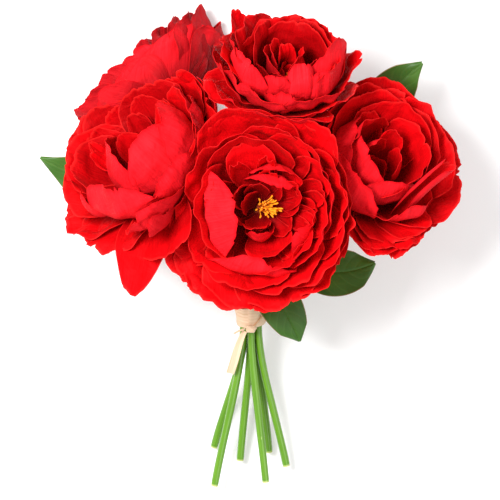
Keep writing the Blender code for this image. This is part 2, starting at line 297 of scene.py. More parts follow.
# %% [markdown]
# ## Thin sheets
#
# Cloth and leaves are thin, but not infinitely thin.  A grid of points becomes a
# closed sheet: one skin half a thickness to each side of the grid, joined round
# the rim.  The two skins are told apart by a value on their points, which lets
# one material colour the inside and the outside of a petal.  Several sheets and
# rods, each a few arrays of points and faces, are joined into one object.

# %% Turn grids of points into closed sheets
def grid_normals(grid):
    """The unit normal at each point of a grid of points."""
    along = np.gradient(grid, axis=0)
    across = np.gradient(grid, axis=1)
    return unit(np.cross(across, along))


def sheet_arrays(grid, thickness):
    """Points and faces of a closed sheet of some thickness built on a grid."""
    rows, columns = grid.shape[:2]
    offset = grid_normals(grid) * thickness / 2
    points = np.concatenate([(grid + offset).reshape(-1, 3), (grid - offset).reshape(-1, 3)])
    back = rows * columns
    index = np.arange(back).reshape(rows, columns)
    quads = np.stack([index[:-1, :-1], index[:-1, 1:], index[1:, 1:], index[1:, :-1]], -1).reshape(-1, 4)
    rim = np.concatenate([index[0, :], index[1:, -1], index[-1, -2::-1], index[-2:0:-1, 0]])
    after = np.roll(rim, -1)
    sides = np.stack([after, rim, rim + back, after + back], -1)
    return points, np.concatenate([quads, quads[:, ::-1] + back, sides])


def joined(parts):
    """Several parts, each its points and one or more arrays of faces, as the arrays of one mesh."""
    by_corners, count = {}, 0
    for points, *kinds in parts:
        for faces in kinds:
            by_corners.setdefault(faces.shape[1], []).append(faces + count)
        count += len(points)
    return np.vstack([points for points, *_ in parts]), [np.vstack(same) for same in by_corners.values()]


def mesh_object(name, parts, material, attributes=None, sharp=55):
    """A smooth object joined from parts in millimetres, with values stored on its points."""
    points, faces = joined(parts)
    corners = np.concatenate([same.ravel() for same in faces])
    sizes = np.concatenate([np.full(len(same), same.shape[1]) for same in faces])
    mesh = bpy.data.meshes.new(name)
    mesh.vertices.add(len(points))
    mesh.vertices.foreach_set("co", ((points + bunch_origin) * MM).ravel())
    mesh.loops.add(len(corners))
    mesh.loops.foreach_set("vertex_index", corners.astype(np.int32))
    mesh.polygons.add(len(sizes))
    mesh.polygons.foreach_set("loop_start", (np.cumsum(sizes) - sizes).astype(np.int32))
    mesh.update(calc_edges=True)
    for label, values in (attributes or {}).items():
        stored = mesh.attributes.new(label, "FLOAT_VECTOR", "POINT")
        stored.data.foreach_set("vector", np.asarray(values, float).ravel())
    mesh.shade_smooth()
    mesh.set_sharp_from_angle(angle=math.radians(sharp))
    mesh.materials.append(material)
    obj = bpy.data.objects.new(name, mesh)
    bpy.context.scene.collection.objects.link(obj)
    return obj


def stand_for(obj, slot, *nodes):
    """Give an object its body and hide the frame nodes it replaces; slot is not used."""
    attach(obj, "root")
    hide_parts(*nodes)
    return obj


# %% [markdown]
# ## One petal
#
# A petal grows from the hub of its layer and follows a curve in the upright
# plane through its tip: out along the hub, then up, and at the tip it may stand
# (an end of 90 degrees), spread (less) or fold in over the heart (more).  Its
# sides bend round a circle, the way a petal pressed over a ball does.  On top of
# that come the small accidents: a lip that turns out along the rim, ruffles, soft
# crumples, and small uneven steps along the rim for the frayed edge.

# %% Small tools for curves and crumples
HILLS = 6                # waves that add up to a crumple
CURVE_POINTS = 60


def smooth_step(value):
    """Ease a value from 0 to 1, flat at both ends."""
    value = np.clip(value, 0.0, 1.0)
    return value * value * (3.0 - 2.0 * value)


def crumple(rng, across, along, size):
    """Soft random hills over a sheet, about size millimetres wide and up to one unit high."""
    hills = 0.0
    for _ in range(HILLS):
        heading = rng.uniform(0, math.pi)
        span = size * rng.uniform(0.7, 1.6)
        phase = rng.uniform(0, 2 * math.pi)
        place = across * math.cos(heading) + along * math.sin(heading)
        hills = hills + np.sin(place * 2 * math.pi / span + phase)
    return hills / 3.5       # the waves seldom all add up, so this keeps near one unit


def bezier(start, start_pull, end_pull, end, count):
    """Points along a cubic curve."""
    t = np.linspace(0.0, 1.0, count)[:, None]
    places = [np.asarray(place, float) for place in (start, start_pull, end_pull, end)]
    shares = (1 - t)**3, 3 * (1 - t)**2 * t, 3 * (1 - t) * t**2, t**3
    return sum(place * share for place, share in zip(places, shares))


def petal_curve(base, tip, start, end, belly):
    """The middle line of a petal as (out, up) points, with its length at each point."""
    base, tip = np.asarray(base, float), np.asarray(tip, float)
    pull = np.linalg.norm(tip - base) * belly
    leaving = np.array((math.cos(math.radians(start)), math.sin(math.radians(start))))
    arriving = np.array((math.cos(math.radians(end)), math.sin(math.radians(end))))
    points = bezier(base, base + leaving * pull, tip - arriving * pull, tip, CURVE_POINTS)
    steps = np.linalg.norm(np.diff(points, axis=0), axis=1)
    return points, np.concatenate([[0.0], np.cumsum(steps)])


# %% The petal function
CLOTH_THICKNESS = 0.25
PITCH = 1.45             # mm between the hubs of stacked layers
HUB_LIFT = 0.9           # mm from the calyx to the middle of the lowest layer
FRAY = 0.35              # mm that the frayed rim wanders
WIDEST_AT = 0.62         # share of its length where a petal is widest
BASE_WIDTH = 0.2         # share of its width at the hub
NARROWING = 0.25         # share of its width that it loses towards the tip
LIP_STARTS = 0.8         # share of its length where the lip turns out
CREASE_WIDTH = 0.035     # share of its length from the middle of a crease to its side
CUT_WIDTH = 0.035        # share of half its width from the middle of a torn cut to its side
CRUMPLE_SIZE = 15.0      # mm across a crumple
PALEST_LOSS = 0.28       # share of the colour lost where the tone is nought: random tones are the dye's own spread, given low ones paint shade on petals in a hollow
HUB_DYE_AND_SHADE = 0.2          # share of the colour left at the hub: partly deeper dye, partly painted shade deep in the heart
TONE_LENGTH = 0.88       # share of its length where the full colour is reached
PATTERN_SHIFT = 7.3      # keeps two petals from sharing one pattern of ribs


def petal_rim(rng, u, length, round_off, point, cuts):
    """How much of a petal's full length each column reaches: a rounded, frayed rim."""
    rim = 1.0 - round_off * np.abs(u)**3 - point * np.abs(u)**1.3
    rim = rim + 0.018 * np.sin(u * rng.uniform(3, 6) + rng.uniform(0, 6))
    rim = rim + 0.01 * np.sin(u * 13 + rng.uniform(0, 6))
    for _ in range(cuts):
        place = rng.uniform(-0.8, 0.8)
        rim = rim - rng.uniform(0.02, 0.05) * np.exp(-((u - place) / CUT_WIDTH)**2)
    return rim + FRAY / length * rng.uniform(-1.0, 1.0, len(u))


def petal_grid(flower, angle, out, up, end=90.0, start=12.0, belly=0.42, base=6.0, width=50.0, bend=40.0,
               order=0, yaw=0.0, lean=0.0, twist=0.0, flare=0.0, lip=1.4, ruffle=1.0, waves=2.2,
               crumpled=0.5, crease=0.0, crease_at=0.5, point=0.0, round_off=0.2, cuts=2, tone=None,
               free=False, rows=26, columns=40, seed=0):
    """A petal as a grid of points, with its values for the cloth's colour and ribs.

    The tip stands out and up mm from the calyx, at an angle round the flower.  The
    petal is width mm wide and bends round a circle of radius bend.
    """
    rng = np.random.default_rng(seed)
    middle, reached = petal_curve((base, (4 - order) * PITCH + HUB_LIFT), (out, up), start, end, belly)
    length = reached[-1]
    u = np.linspace(-1.0, 1.0, columns + 1)[None, :]            # from side to side
    v = np.linspace(0.0, 1.0, rows + 1)[:, None]**0.9           # from the hub to the rim
    s = v * petal_rim(rng, u[0], length, round_off, point, cuts)

    # how far each point lies to the side
    widening = BASE_WIDTH + (1 - BASE_WIDTH) * np.sin(np.clip(s / WIDEST_AT, 0, 1) * math.pi / 2)**1.1
    narrowing = 1.0 - NARROWING * np.clip((s - WIDEST_AT) / (1 - WIDEST_AT), 0, 1)**2
    side_fray = 1.0 + FRAY / width * rng.uniform(-1.0, 1.0, (rows + 1, 1)) * np.abs(u)**6
    across = u * width / 2 * widening * narrowing * side_fray

    # the middle line, and the sides bent round a circle
    mid_out, mid_up = (np.interp(s * length, reached, middle[:, i]) for i in (0, 1))
    slope = np.gradient(middle, axis=0)
    steep = np.interp(s * length, reached, np.unwrap(np.arctan2(slope[:, 1], slope[:, 0])))
    bending = (1.0 - flare * s**2) / bend
    bending = np.where(np.abs(bending) < 1e-4, 1e-4, bending)
    side = np.sin(across * bending) / bending
    inward = (1.0 - np.cos(across * bending)) / bending

    # ruffles, the lip, crumples and a crease
    wave = np.sin(waves * math.pi * u + rng.uniform(0, 6))
    wave = wave + 0.4 * np.sin(2.3 * waves * math.pi * u + rng.uniform(0, 6))
    inward = inward + ruffle * s**2.5 * wave - lip * smooth_step((v - LIP_STARTS) / (1 - LIP_STARTS))**2
    inward = inward + crumpled * crumple(rng, across, s * length, CRUMPLE_SIZE) * smooth_step(s * 1.6)
    inward = inward - crease * np.exp(-((s - crease_at) / CREASE_WIDTH)**2)

    # twist, lean and yaw, then the place on the flower
    turn = math.radians(twist) * s
    side, inward = side * np.cos(turn) - inward * np.sin(turn), side * np.sin(turn) + inward * np.cos(turn)
    side = side + lean * s**2
    away = mid_out - inward * np.sin(steep) - base
    mid_up = mid_up + inward * np.cos(steep)
    yaw = math.radians(yaw)
    mid_out = base + away * math.cos(yaw) - side * math.sin(yaw)
    side = away * math.sin(yaw) + side * math.cos(yaw)
    heading = math.cos(math.radians(angle)) * flower.down + math.sin(math.radians(angle)) * flower.right
    sideways = np.cross(flower.axis, heading)
    grid = (flower.top + mid_out[..., None] * heading + side[..., None] * sideways
            + mid_up[..., None] * flower.axis)

    # values for the cloth
    edge = np.maximum(np.abs(u)**3, v**3)
    # A random tone is the dye's own spread; a given low tone paints shade on a petal deep in a hollow.
    tone = rng.uniform(0.4, 1.0) if tone is None else tone
    tone = 1.0 - PALEST_LOSS * (1.0 - tone)
    # Painted shade: the colour darkens towards the hub, partly deeper dye and partly shade deep in the
    # heart.
    tone = tone * (HUB_DYE_AND_SHADE + (1 - HUB_DYE_AND_SHADE) * smooth_step(s / TONE_LENGTH))
    where = np.stack([u * width / 2 + 0 * s, s * length, np.full_like(s, seed * PATTERN_SHIFT)], -1)
    return pressed(grid, flower, free), where, edge, tone


def petal_layer(name, petals, material):
    """Join petals, each a grid with its values, into one piece of cloth."""
    parts, all_where, all_look = [], [], []
    for grid, where, edge, tone in petals:
        parts.append(sheet_arrays(grid, CLOTH_THICKNESS))
        all_where += [where.reshape(-1, 3)] * 2
        for outside in (1.0, 0.0):
            all_look.append(np.stack([np.full(edge.size, outside), edge.ravel(), tone.ravel()], -1))
    attributes = {"petal_at": np.concatenate(all_where), "petal_look": np.concatenate(all_look)}
    return mesh_object(name, parts, material, attributes)


# %% [markdown]
# ## Five layers to a flower
#
# From the heart outwards the layers get wider and lie flatter.  The petals come
# from a few stamps but no two end up alike, so each petal of a ring starts from
# its layer's habits and strays a little, always the same way because every random
# draw is seeded.

# %% The habits of each layer
HABITS = {
    "heart_petals": dict(order=0, base=3.5, width=19, bend=10, end=98, lip=1.4, ruffle=0.4, crumpled=0.3,
                         rows=16, columns=22, cuts=0),
    "inner_petals": dict(order=1, base=4.5, width=28, bend=15, end=104, lip=2.0, ruffle=0.5, crumpled=0.5,
                         rows=20, columns=30, cuts=1),
    "cup_petals": dict(order=2, base=5.5, width=56, bend=34, end=97, lip=1.8, ruffle=0.8, crumpled=1.0),
    "outer_petals": dict(order=3, base=6.0, width=62, bend=44, end=82, lip=2.2, ruffle=1.1, crumpled=1.2),
    "guard_petals": dict(order=4, base=6.5, width=70, bend=62, end=38, lip=0.8, ruffle=1.3, crumpled=1.3,
                         flare=0.5),
}
STRAY = {                # how far a petal of a ring may stray from its layer's habits
    "heart_petals": dict(angle=12, out=1.5, up=3, end=12, lean=2, yaw=14),
    "inner_petals": dict(angle=12, out=3, up=5, end=22, lean=5, yaw=24),
    "cup_petals": dict(angle=7, out=2, up=2.5, end=8, lean=3, yaw=5),
    "outer_petals": dict(angle=6, out=2.5, up=2.5, end=9, lean=3, yaw=4),
    "guard_petals": dict(angle=5, out=2.5, up=3, end=12, lean=3, yaw=4),
}
SIZED = ("base", "width", "bend", "out", "up")


def petal(x, y, up, **habits):
    """A given petal whose tip lies over (x, y) and stands up mm above the calyx."""
    return dict(habits, seen=(x, y), up=up)


def ring(count, turned, out, up, **habits):
    """Petals spaced evenly round a flower, the first one turned by some degrees."""
    return [dict(habits, angle=turned + i * 360 / count, out=out, up=up) for i in range(count)]


def seen_place(flower, x, y, up):
    """The angle and reach of a tip that lies over (x, y) and stands up mm above the calyx."""
    offset = np.array((x, y)) - flower.top[:2] - flower.axis[:2] * up
    directions = np.column_stack([flower.down[:2], flower.right[:2]])
    down, right = np.linalg.solve(directions, offset)
    return math.degrees(math.atan2(right, down)), math.hypot(down, right)


def make_petals(flower, layer, specs, seed):
    """The petals of one layer: petals placed one by one as given, the others strayed a little."""
    petals = []
    for i, spec in enumerate(specs):
        rng = np.random.default_rng(seed * 31 + i)
        own = dict(HABITS[layer])
        own.update(spec)
        if "seen" in own:
            x, y = own.pop("seen")
            own["angle"], own["out"] = seen_place(flower, x, y, own["up"])
        elif not own.pop("exact", False):
            for name in SIZED:
                own[name] = own[name] * flower.size
            for name, amount in STRAY[layer].items():
                own[name] = own.get(name, 0.0) + amount * rng.uniform(-1.0, 1.0)
        petals.append(petal_grid(flower, seed=seed * 31 + i, **own))
    return petals


# %% [markdown]
# ## The front flower
#
# This flower looks straight up, so its heart shows: a tuft of stamens in a cup of
# small petals painted darker as shade, curled petals round that, and a standing
# ring with a broad petal on the left that folds right over, outside up.  The
# petals are placed one by one: petal(x, y, up) says where a petal's tip lies
# seen from above, in millimetres from the reference point, and how high it
# stands over the calyx.

# %% Petals of the front flower
# Low tones paint shade on the small petals of the heart; tone 1 keeps a petal at its full colour.
FRONT = {
    "heart_petals": [
        petal(-3, 30, 22, tone=-0.2), petal(3, 39, 24, tone=-0.4), petal(15, 41, 22, end=80, tone=-0.2),
        petal(29, 31, 24, end=88, width=24, tone=0.2), petal(23, 12, 21, end=85, tone=-0.2),
        petal(4, 13, 22, tone=0.2),
    ],
    "inner_petals": [
        dict(exact=True, angle=164, out=25, up=36, end=124, belly=0.55, width=38, bend=16, lean=-14,
             tone=1.0),
        dict(exact=True, angle=170, out=14, up=31, end=160, belly=0.6, width=34, bend=22, lean=-12,
             tone=1.0),
        petal(-2, 65, 34, end=58, start=35, width=34, bend=24, tone=1.0),
        petal(31, 25, 30, end=95, width=24, bend=9, yaw=30),
        petal(38, 28, 34, end=110, width=22, bend=8, yaw=-20),
        petal(43, 36, 38, end=100, width=24, bend=10),
        petal(36, 13, 32, end=112, width=26, bend=12, yaw=15),
        petal(27, 10, 32, end=168, belly=0.6, width=32, bend=30, tone=1.0),
        petal(29, 3, 32, end=140, width=30, bend=24),
        petal(7, 12, 31, end=150, belly=0.55, width=26, bend=9, yaw=-15, tone=1.0),
        petal(-3, 16, 31, end=110, width=24, bend=12, yaw=20),
        petal(12, -2, 34, end=100, width=34, bend=22), petal(-5, 37, 34, end=122, width=26, bend=8, yaw=28),
        petal(-11, 50, 36, end=100, width=16, bend=6, yaw=40, ruffle=1.4),
        petal(-6, 55, 39, end=95, width=16, bend=6, yaw=-35, ruffle=1.4),
        petal(0, 53, 35, end=105, width=17, bend=7, yaw=25, ruffle=1.2),
        petal(6, 48, 30, end=100, width=18, bend=8, yaw=-20, ruffle=1.0),
    ],
    "cup_petals": [
        petal(-8, 24, 42, end=172, belly=0.88, width=60, bend=60, crease=2.4, crease_at=0.7, lip=0.2,
              ruffle=0.4, round_off=0.3),
        petal(-3, 68, 45, end=82, width=60, bend=38, lip=0.6), petal(17, 72, 46, end=88, width=52),
        petal(37, 59, 47, end=93, width=58), petal(48, 35, 47, end=95, width=58),
        petal(42, 7, 46, end=95, width=56), petal(22, -8, 44, end=98, width=50),
        petal(-3, -3, 41, end=165, belly=0.62, width=60, bend=60, lip=0.2, ruffle=0.5, point=0.05, lean=6,
              crease=0.6, crease_at=0.72, tone=1.0),
    ],
    "outer_petals": [
        petal(-6, 87, 42, end=70, width=70, bend=50, ruffle=0.8),
        petal(45, 78, 40, end=50, width=50, bend=24, flare=0.6), petal(55, 37, 45, end=90, width=62),
        petal(57, 20, 42, end=85, width=62), petal(49, -8, 41, end=80, width=62),
        petal(25, -21, 40, end=78, width=62), petal(-6, -22, 40, end=80, width=62),
        petal(-32, -5, 38, end=76, width=56, point=0.2), petal(-31, 22, 45, end=92, width=64),
        petal(-26, 60, 43, end=86, width=64),
    ],
    "guard_petals": [
        petal(-55, 20, 22, end=30, width=66), petal(-48, -12, 24, end=35, width=66),
        petal(-29, -30, 26, end=40, width=64), petal(-2, -36, 28, end=45, width=64),
        petal(22, -34, 32, end=50, width=60), petal(46, -20, 32, end=55, width=64),
        petal(61, 14, 36, end=62, width=70), petal(58, 50, 34, end=60, width=66),
        petal(24, 84, 34, end=55, width=66), petal(-22, 79, 34, end=50, width=66),
        petal(-44, 48, 26, end=45, width=64),
    ],
}

# %% [markdown]
# ## The flowers on the left and the right
#
# These two turn away from the middle of the bunch, so their hollows open to the
# side and the near walls of their cups show the outside of the cloth, painted a
# lighter coral as painted light.  The left one has a pointed petal that hangs
# down, and the right one a petal that is rolled up like a leaf of paper.

# %% Petals of the left flower
# Low tones paint shade on the petals deep in the hollow; the near wall keeps its full colour.
LEFT = {
    "heart_petals": ring(5, 30, 5, 22, end=128, belly=0.5, tone=-0.6),
    "inner_petals": [
        petal(-73, 83, 37, width=24, bend=8, tone=-0.3), petal(-88, 80, 38, width=13, bend=4, yaw=30),
        petal(-97, 60, 36, width=16, bend=6), petal(-62, 90, 36, width=26, bend=11, yaw=-20),
        petal(-55, 92, 36, width=26, bend=12, tone=-0.3),
        petal(-87, 94, 40, width=32, bend=16, end=96, tone=0.3),
        petal(-70, 98, 40, width=30, bend=15, end=98, tone=0.0), petal(-80, 70, 34, width=24, bend=10),
        petal(-98, 72, 38, width=28, bend=14, end=98, tone=0.2),
    ],
    "cup_petals": [
        petal(-69, 70, 50, end=132, belly=0.62, width=56, bend=30, crease=0.6, crease_at=0.7, lip=0.3,
              tone=1.0),
        petal(-87, 64, 48, end=134, belly=0.6, width=60, bend=32, lip=0.3, crease=0.5, crease_at=0.75,
              tone=0.95),
        petal(-109, 56, 42, end=85, width=56, tone=-0.2), petal(-96, 97, 46, end=85, width=56, tone=-0.4),
        petal(-68, 110, 48, end=88, width=56, tone=-0.4), petal(-46, 98, 48, end=108, width=50),
        petal(-57, 84, 51, end=126, belly=0.6, width=58, bend=30, lip=0.3, tone=0.9),
    ],
    "outer_petals": [
        petal(-104, 38, 41, end=130, belly=0.55, width=40, bend=13, point=0.3, lip=0.2, tone=0.7),
        petal(-90, 40, 45, end=134, belly=0.62, width=68, bend=40, lip=0.3, crease=0.6, crease_at=0.75,
              tone=1.0),
        petal(-60, 16, 32, end=135, belly=0.5, width=28, bend=9, lip=0.2),
        petal(-50, 52, 36, end=118, belly=0.5, width=46, bend=26, lip=0.3, tone=0.9),
        petal(-112, 62, 42, end=80), petal(-104, 90, 44, end=76, width=44, bend=30),
        petal(-81, 113, 44, end=82), petal(-53, 114, 44, end=85),
        petal(-45, 110, 46, end=118, belly=0.5, width=34, bend=18, point=0.25, tone=0.9),
        petal(-33, 108, 42, end=112, belly=0.5, width=38, bend=20, point=0.25, tone=1.0),
        petal(-38, 88, 42, end=112, width=58, tone=0.8), petal(-64, 26, 36, end=118, width=50),
    ],
    "guard_petals": [
        petal(-73, -28, -2, end=-12, width=38, bend=-80, twist=-62, point=0.12, round_off=0.5, ruffle=0.3,
              crumpled=0.5, flare=0.0, cuts=0, lip=0.0, free=True, tone=1.0),
        petal(-53, -4, 2, end=10, width=42, ruffle=0.6, crumpled=0.5, free=True),
        petal(-95, 0, 10, end=15, width=60), petal(-115, 18, 16, end=30, width=56),
        petal(-115, 46, 30, end=50), petal(-108, 76, 36, end=58), petal(-99, 95, 40, end=64),
        petal(-82, 114, 40, end=66), petal(-56, 117, 38, end=66), petal(-26, 92, 28, end=60, width=56),
        petal(-33, 50, 18, end=60, width=56), petal(-53, 18, 14, end=40, width=50),
    ],
}

# %% Petals of the right flower
RIGHT = {
    "heart_petals": ring(5, 0, 5, 22, end=128, belly=0.5),
    "inner_petals": [
        petal(90, 71, 40, end=128, width=20, bend=8, tone=1.0),
        petal(80, 66, 41, end=132, width=26, bend=10, tone=1.0),
        petal(91, 59, 38, end=132, width=24, bend=9, tone=1.0),
        petal(84, 86, 36, end=95, width=24, bend=9, yaw=30),
        petal(96, 76, 33, end=95, width=22, bend=9, yaw=-25), petal(74, 84, 36, end=92, width=24, bend=12),
    ],
    "cup_petals": [
        petal(70, 76, 46, end=108, width=56, lip=0.5), petal(77, 97, 46, end=90, width=58),
        petal(97, 88, 46, end=92, width=58), petal(108, 66, 46, end=94, width=58),
        petal(103, 47, 44, end=102, width=52), petal(88, 42, 44, end=130, width=52, lip=0.3),
        petal(74, 60, 46, end=122, width=56, lip=0.3, crease=0.5, crease_at=0.7, tone=1.0),
    ],
    "outer_petals": [
        dict(exact=True, angle=20, base=34, out=70, up=45, start=88, end=2, belly=0.6, yaw=105, width=24,
             bend=4.4, ruffle=0.2, crumpled=0.3, point=0.1, round_off=0.05, lip=0.0, free=True, tone=1.0),
        petal(103, 28, 41, end=118, width=58, bend=30, point=0.3, lip=0.3, tone=1.0),
        petal(101, 15, 30, end=72, width=46, bend=17, point=0.35, lean=10, tone=1.0),
        petal(91, 3, 24, end=60, width=44, tone=0.9),
        petal(65, 70, 45, end=122, belly=0.72, width=66, bend=36, lip=0.4, tone=1.0, free=True),
        petal(64, 50, 45, end=120, belly=0.6, width=60, lip=0.4, tone=1.0, free=True),
        petal(69, 101, 44, end=84, width=60), petal(103, 86, 42, end=80, width=66),
    ],
    "guard_petals": [
        petal(131, 46, 25, end=32, width=76, ruffle=0.9), petal(121, 72, 33, end=50, width=70),
        petal(102, 94, 38, end=62, width=66), petal(78, 107, 40, end=66, width=64),
        petal(118, 20, 20, end=22, width=66, ruffle=0.9), petal(101, 7, 18, end=20, width=58),
        petal(85, -3, 18, end=22, width=50, cuts=5, tone=1.0), petal(72, 0, 22, end=40, width=50),
        petal(51, 62, 39, end=86, width=64, tone=0.9),
        petal(58, 93, 44, end=116, belly=0.6, width=60, lip=0.4, tone=1.0, free=True),
    ],
}

# %% [markdown]
# ## The flower at the top
#
# The top flower leans away, like a cup on its side.  Its near petals hide half of
# its hollow, a tall one stands at the right, and the petal at its upper left has
# torn into a fringe.

# %% Petals of the top flower
# Low tones paint shade on the far wall of the hollow and on the petal at the upper left.
TOP = {
    "heart_petals": ring(5, 15, 5, 22, end=128, belly=0.5),
    "inner_petals": [
        petal(11, 122, 36, end=85, width=30, bend=14), petal(22, 126, 34, end=85, width=17, bend=7),
        petal(31, 122, 36, end=90, width=26, bend=12), petal(21, 108, 30, end=95, width=26, bend=10),
        petal(8, 113, 35, end=95, width=26, bend=11), petal(15, 128, 38, end=85, width=22, bend=9),
        petal(37, 116, 34, end=100, width=20, bend=9),
    ],
    "cup_petals": [
        petal(-3, 119, 47, end=118, belly=0.5, width=48, bend=22, lip=0.3, tone=0.9),
        petal(31, 114, 47, end=142, width=30, bend=10, belly=0.55, lip=0.3, crease=0.5, crease_at=0.8,
              tone=1.0),
        dict(exact=True, angle=43, base=5, out=25, up=55, end=108, belly=0.6, width=60, bend=26, lean=10,
             point=0.25, lip=0.3, tone=1.0),
        petal(17, 106, 42, end=115, width=34, bend=11, lip=0.3, tone=0.5),
        petal(8, 138, 46, end=88, width=50, tone=0.1), petal(31, 139, 46, end=88, width=50, tone=-0.5),
        petal(-9, 126, 45, end=88, width=50, tone=0.3),
    ],
    "outer_petals": [
        petal(44, 110, 42, end=118, belly=0.5, width=44, bend=15, lip=0.3, crease=0.8, crease_at=0.7,
              tone=0.9),
        petal(20, 96, 36, end=102, width=40, bend=13, lip=0.4, point=0.1, tone=0.6),
        petal(-5, 104, 38, end=88, width=56), petal(-15, 124, 40, end=78, width=54),
        petal(-3, 139, 44, end=80, width=54, tone=0.2), petal(37, 140, 44, end=80, width=54, tone=-0.2),
        petal(53, 118, 42, end=86, width=56), petal(41, 95, 34, end=84, width=50),
    ],
    "guard_petals": [
        petal(-20, 118, 36, end=75, width=50, ruffle=0.6, free=True, tone=-0.3),
        petal(-9, 148, 42, end=74, width=34, cuts=9, point=0.3, ruffle=0.6),
        petal(-26, 95, 18, end=25, width=48), petal(67, 121, 36, end=70, width=42, point=0.3, cuts=4),
        petal(16, 143, 43, end=76, width=56), petal(48, 136, 40, end=70, width=56),
        petal(-10, 90, 22, end=55, width=54), petal(22, 80, 22, end=60, width=60),
        petal(52, 90, 24, end=60, width=56),
    ],
}

# %% [markdown]
# ## The two flowers underneath
#
# One shows its back past the upper left of the bunch.  The other is hidden from
# above, and only its petals' edges show from the side, so it is a plain round
# flower made of five even rings.

# %% Petals of the flowers underneath
BACK_RIGHT = {
    "heart_petals": ring(5, 20, 11, 23),
    "inner_petals": ring(4, 10, 19, 30) + ring(6, 40, 27, 37),
    "cup_petals": ring(6, 20, 37, 46),
    "outer_petals": ring(5, 0, 43, 47, end=88) + ring(5, 36, 50, 44),
    "guard_petals": ring(6, 15, 60, 34, end=50) + ring(6, 45, 66, 26),
}
SMOOTH_RIM = dict(ruffle=0.4, crumpled=0.6, lip=0.3, round_off=0.3, free=True)
BACK_LEFT = dict(BACK_RIGHT)
BACK_LEFT["cup_petals"] = ring(6, 20, 30, 35)
# Low tones paint shade on the back petals and along their overlapping rims.
BACK_LEFT["outer_petals"] = [dict(angle=angle, out=48, up=44) for angle in (222, 267, 312, 357)] + [
    petal(x, y, 46, end=84, width=46, bend=28, tone=-0.4, ruffle=0.7, crumpled=0.8, free=True)
    for x, y in ((-20, 139), (-30, 149), (-37, 146), (-45, 142), (-54, 137),
                 (-63, 131), (-79, 117), (-92, 104), (-101, 92), (-107, 84))
]
BACK_LEFT["guard_petals"] = [dict(angle=angle, out=60, up=28) for angle in (230, 272, 314, 356)] + [
    petal(x, y, up, end=86, width=width, bend=38, tone=tone, crease=0.6, crease_at=0.8, **SMOOTH_RIM)
    for x, y, up, width, tone in ((-64, 124, 33, 48, 0.3), (-80, 111, 31, 42, 0.2), (-95, 94, 28, 40, 0.0))
] + [
    {**SMOOTH_RIM, **dict(exact=True, angle=150, base=6, out=30, up=31, end=86, width=74, bend=60, lean=22,
                          tone=1.0, crease=0.6, crease_at=0.82, round_off=0.25)},
    {**SMOOTH_RIM, **dict(exact=True, angle=165, base=6, out=24, up=24, end=80, width=60, bend=60, lean=34,
                          tone=0.4)},
]
FLOWER_PETALS = {"front": FRONT, "left": LEFT, "right": RIGHT, "top": TOP, "back_left": BACK_LEFT,
                 "back_right": BACK_RIGHT}

# %% Cut, press and gather the petals
PETAL_AXES = {"left": (-0.55, 0.6, 0.58)}   # petals that have slumped away from their calyx's axis

petal_count = 0
for number, flower in enumerate(flowers.values()):
    if flower.name in PETAL_AXES:
        flower = flower.facing(PETAL_AXES[flower.name])
    for layer in HABITS:
        seed = 100 * number + HABITS[layer]["order"]
        petals = make_petals(flower, layer, FLOWER_PETALS[flower.name][layer], seed)
        piece = petal_layer(flower.name + "_cloth_" + layer, petals, red_cloth)
        stand_for(piece, "petal_fabric", flower.name + "_" + layer)
        petal_count += len(petals)
    print(flower.name, "flower has its petals;", petal_count, "petals so far")

# %% [markdown]
# ## Stems
#
# Each stem is a wire with green polyethylene moulded round it.  It runs from its
# cut end through the tie, where five stems stand in a ring round the sixth, and
# bends in under its flower.  A swept circle is the plain way to make such a rod.
# The sweep needs a frame that doesn't twist, so each ring is turned only as much
# as the path turns.

# %% Swept rods
def smooth_path(points, step):
    """Even points along a smooth curve through the given points."""
    points = np.asarray(points, float)
    ahead = np.vstack([2 * points[0] - points[1], points, 2 * points[-1] - points[-2]])
    path = []
    for a, b, c, d in zip(ahead, ahead[1:], ahead[2:], ahead[3:]):
        count = max(1, round(np.linalg.norm(c - b) / step))
        t = np.arange(count)[:, None] / count
        path.append(0.5 * (2 * b + (c - a) * t + (2 * a - 5 * b + 4 * c - d) * t**2
                           + (3 * b - a - 3 * c + d) * t**3))
    return np.vstack(path + [points[-1:]])


def rod_arrays(path, radii, sides):
    """A round rod along a path: its points, its side faces and its end faces."""
    path = np.asarray(path, float)
    radii = np.broadcast_to(radii, len(path))
    along = unit(np.gradient(path, axis=0))
    across = unit(np.cross(along[0], (0.31, 0.17, 0.93)))
    turns = np.arange(sides) * 2 * math.pi / sides
    rings = []
    for place, direction, radius in zip(path, along, radii):
        across = unit(across - direction * (across @ direction))
        upward = np.cross(direction, across)
        rings.append(place + radius * (np.cos(turns)[:, None] * across + np.sin(turns)[:, None] * upward))
    points = np.vstack(rings + [path[:1], path[-1:]])
    index = np.arange(len(path) * sides).reshape(len(path), sides)
    after = np.roll(index, -1, axis=1)
    quads = np.stack([index[:-1], after[:-1], after[1:], index[1:]], -1).reshape(-1, 4)
    first, last = len(points) - 2, len(points) - 1
    ends = np.vstack([np.stack([after[0], index[0], np.full(sides, first)], -1),
                      np.stack([index[-1], after[-1], np.full(sides, last)], -1)])
    return points, quads, ends


# %% Moulded polyethylene
STEM_RADIUS = 2.35
STEM_SIDES = 24
FLOW_LINE = 1.3          # mm between the faint lines that the mould leaves along a stem
FLOW_LENGTH = 40.0       # mm before such a line fades


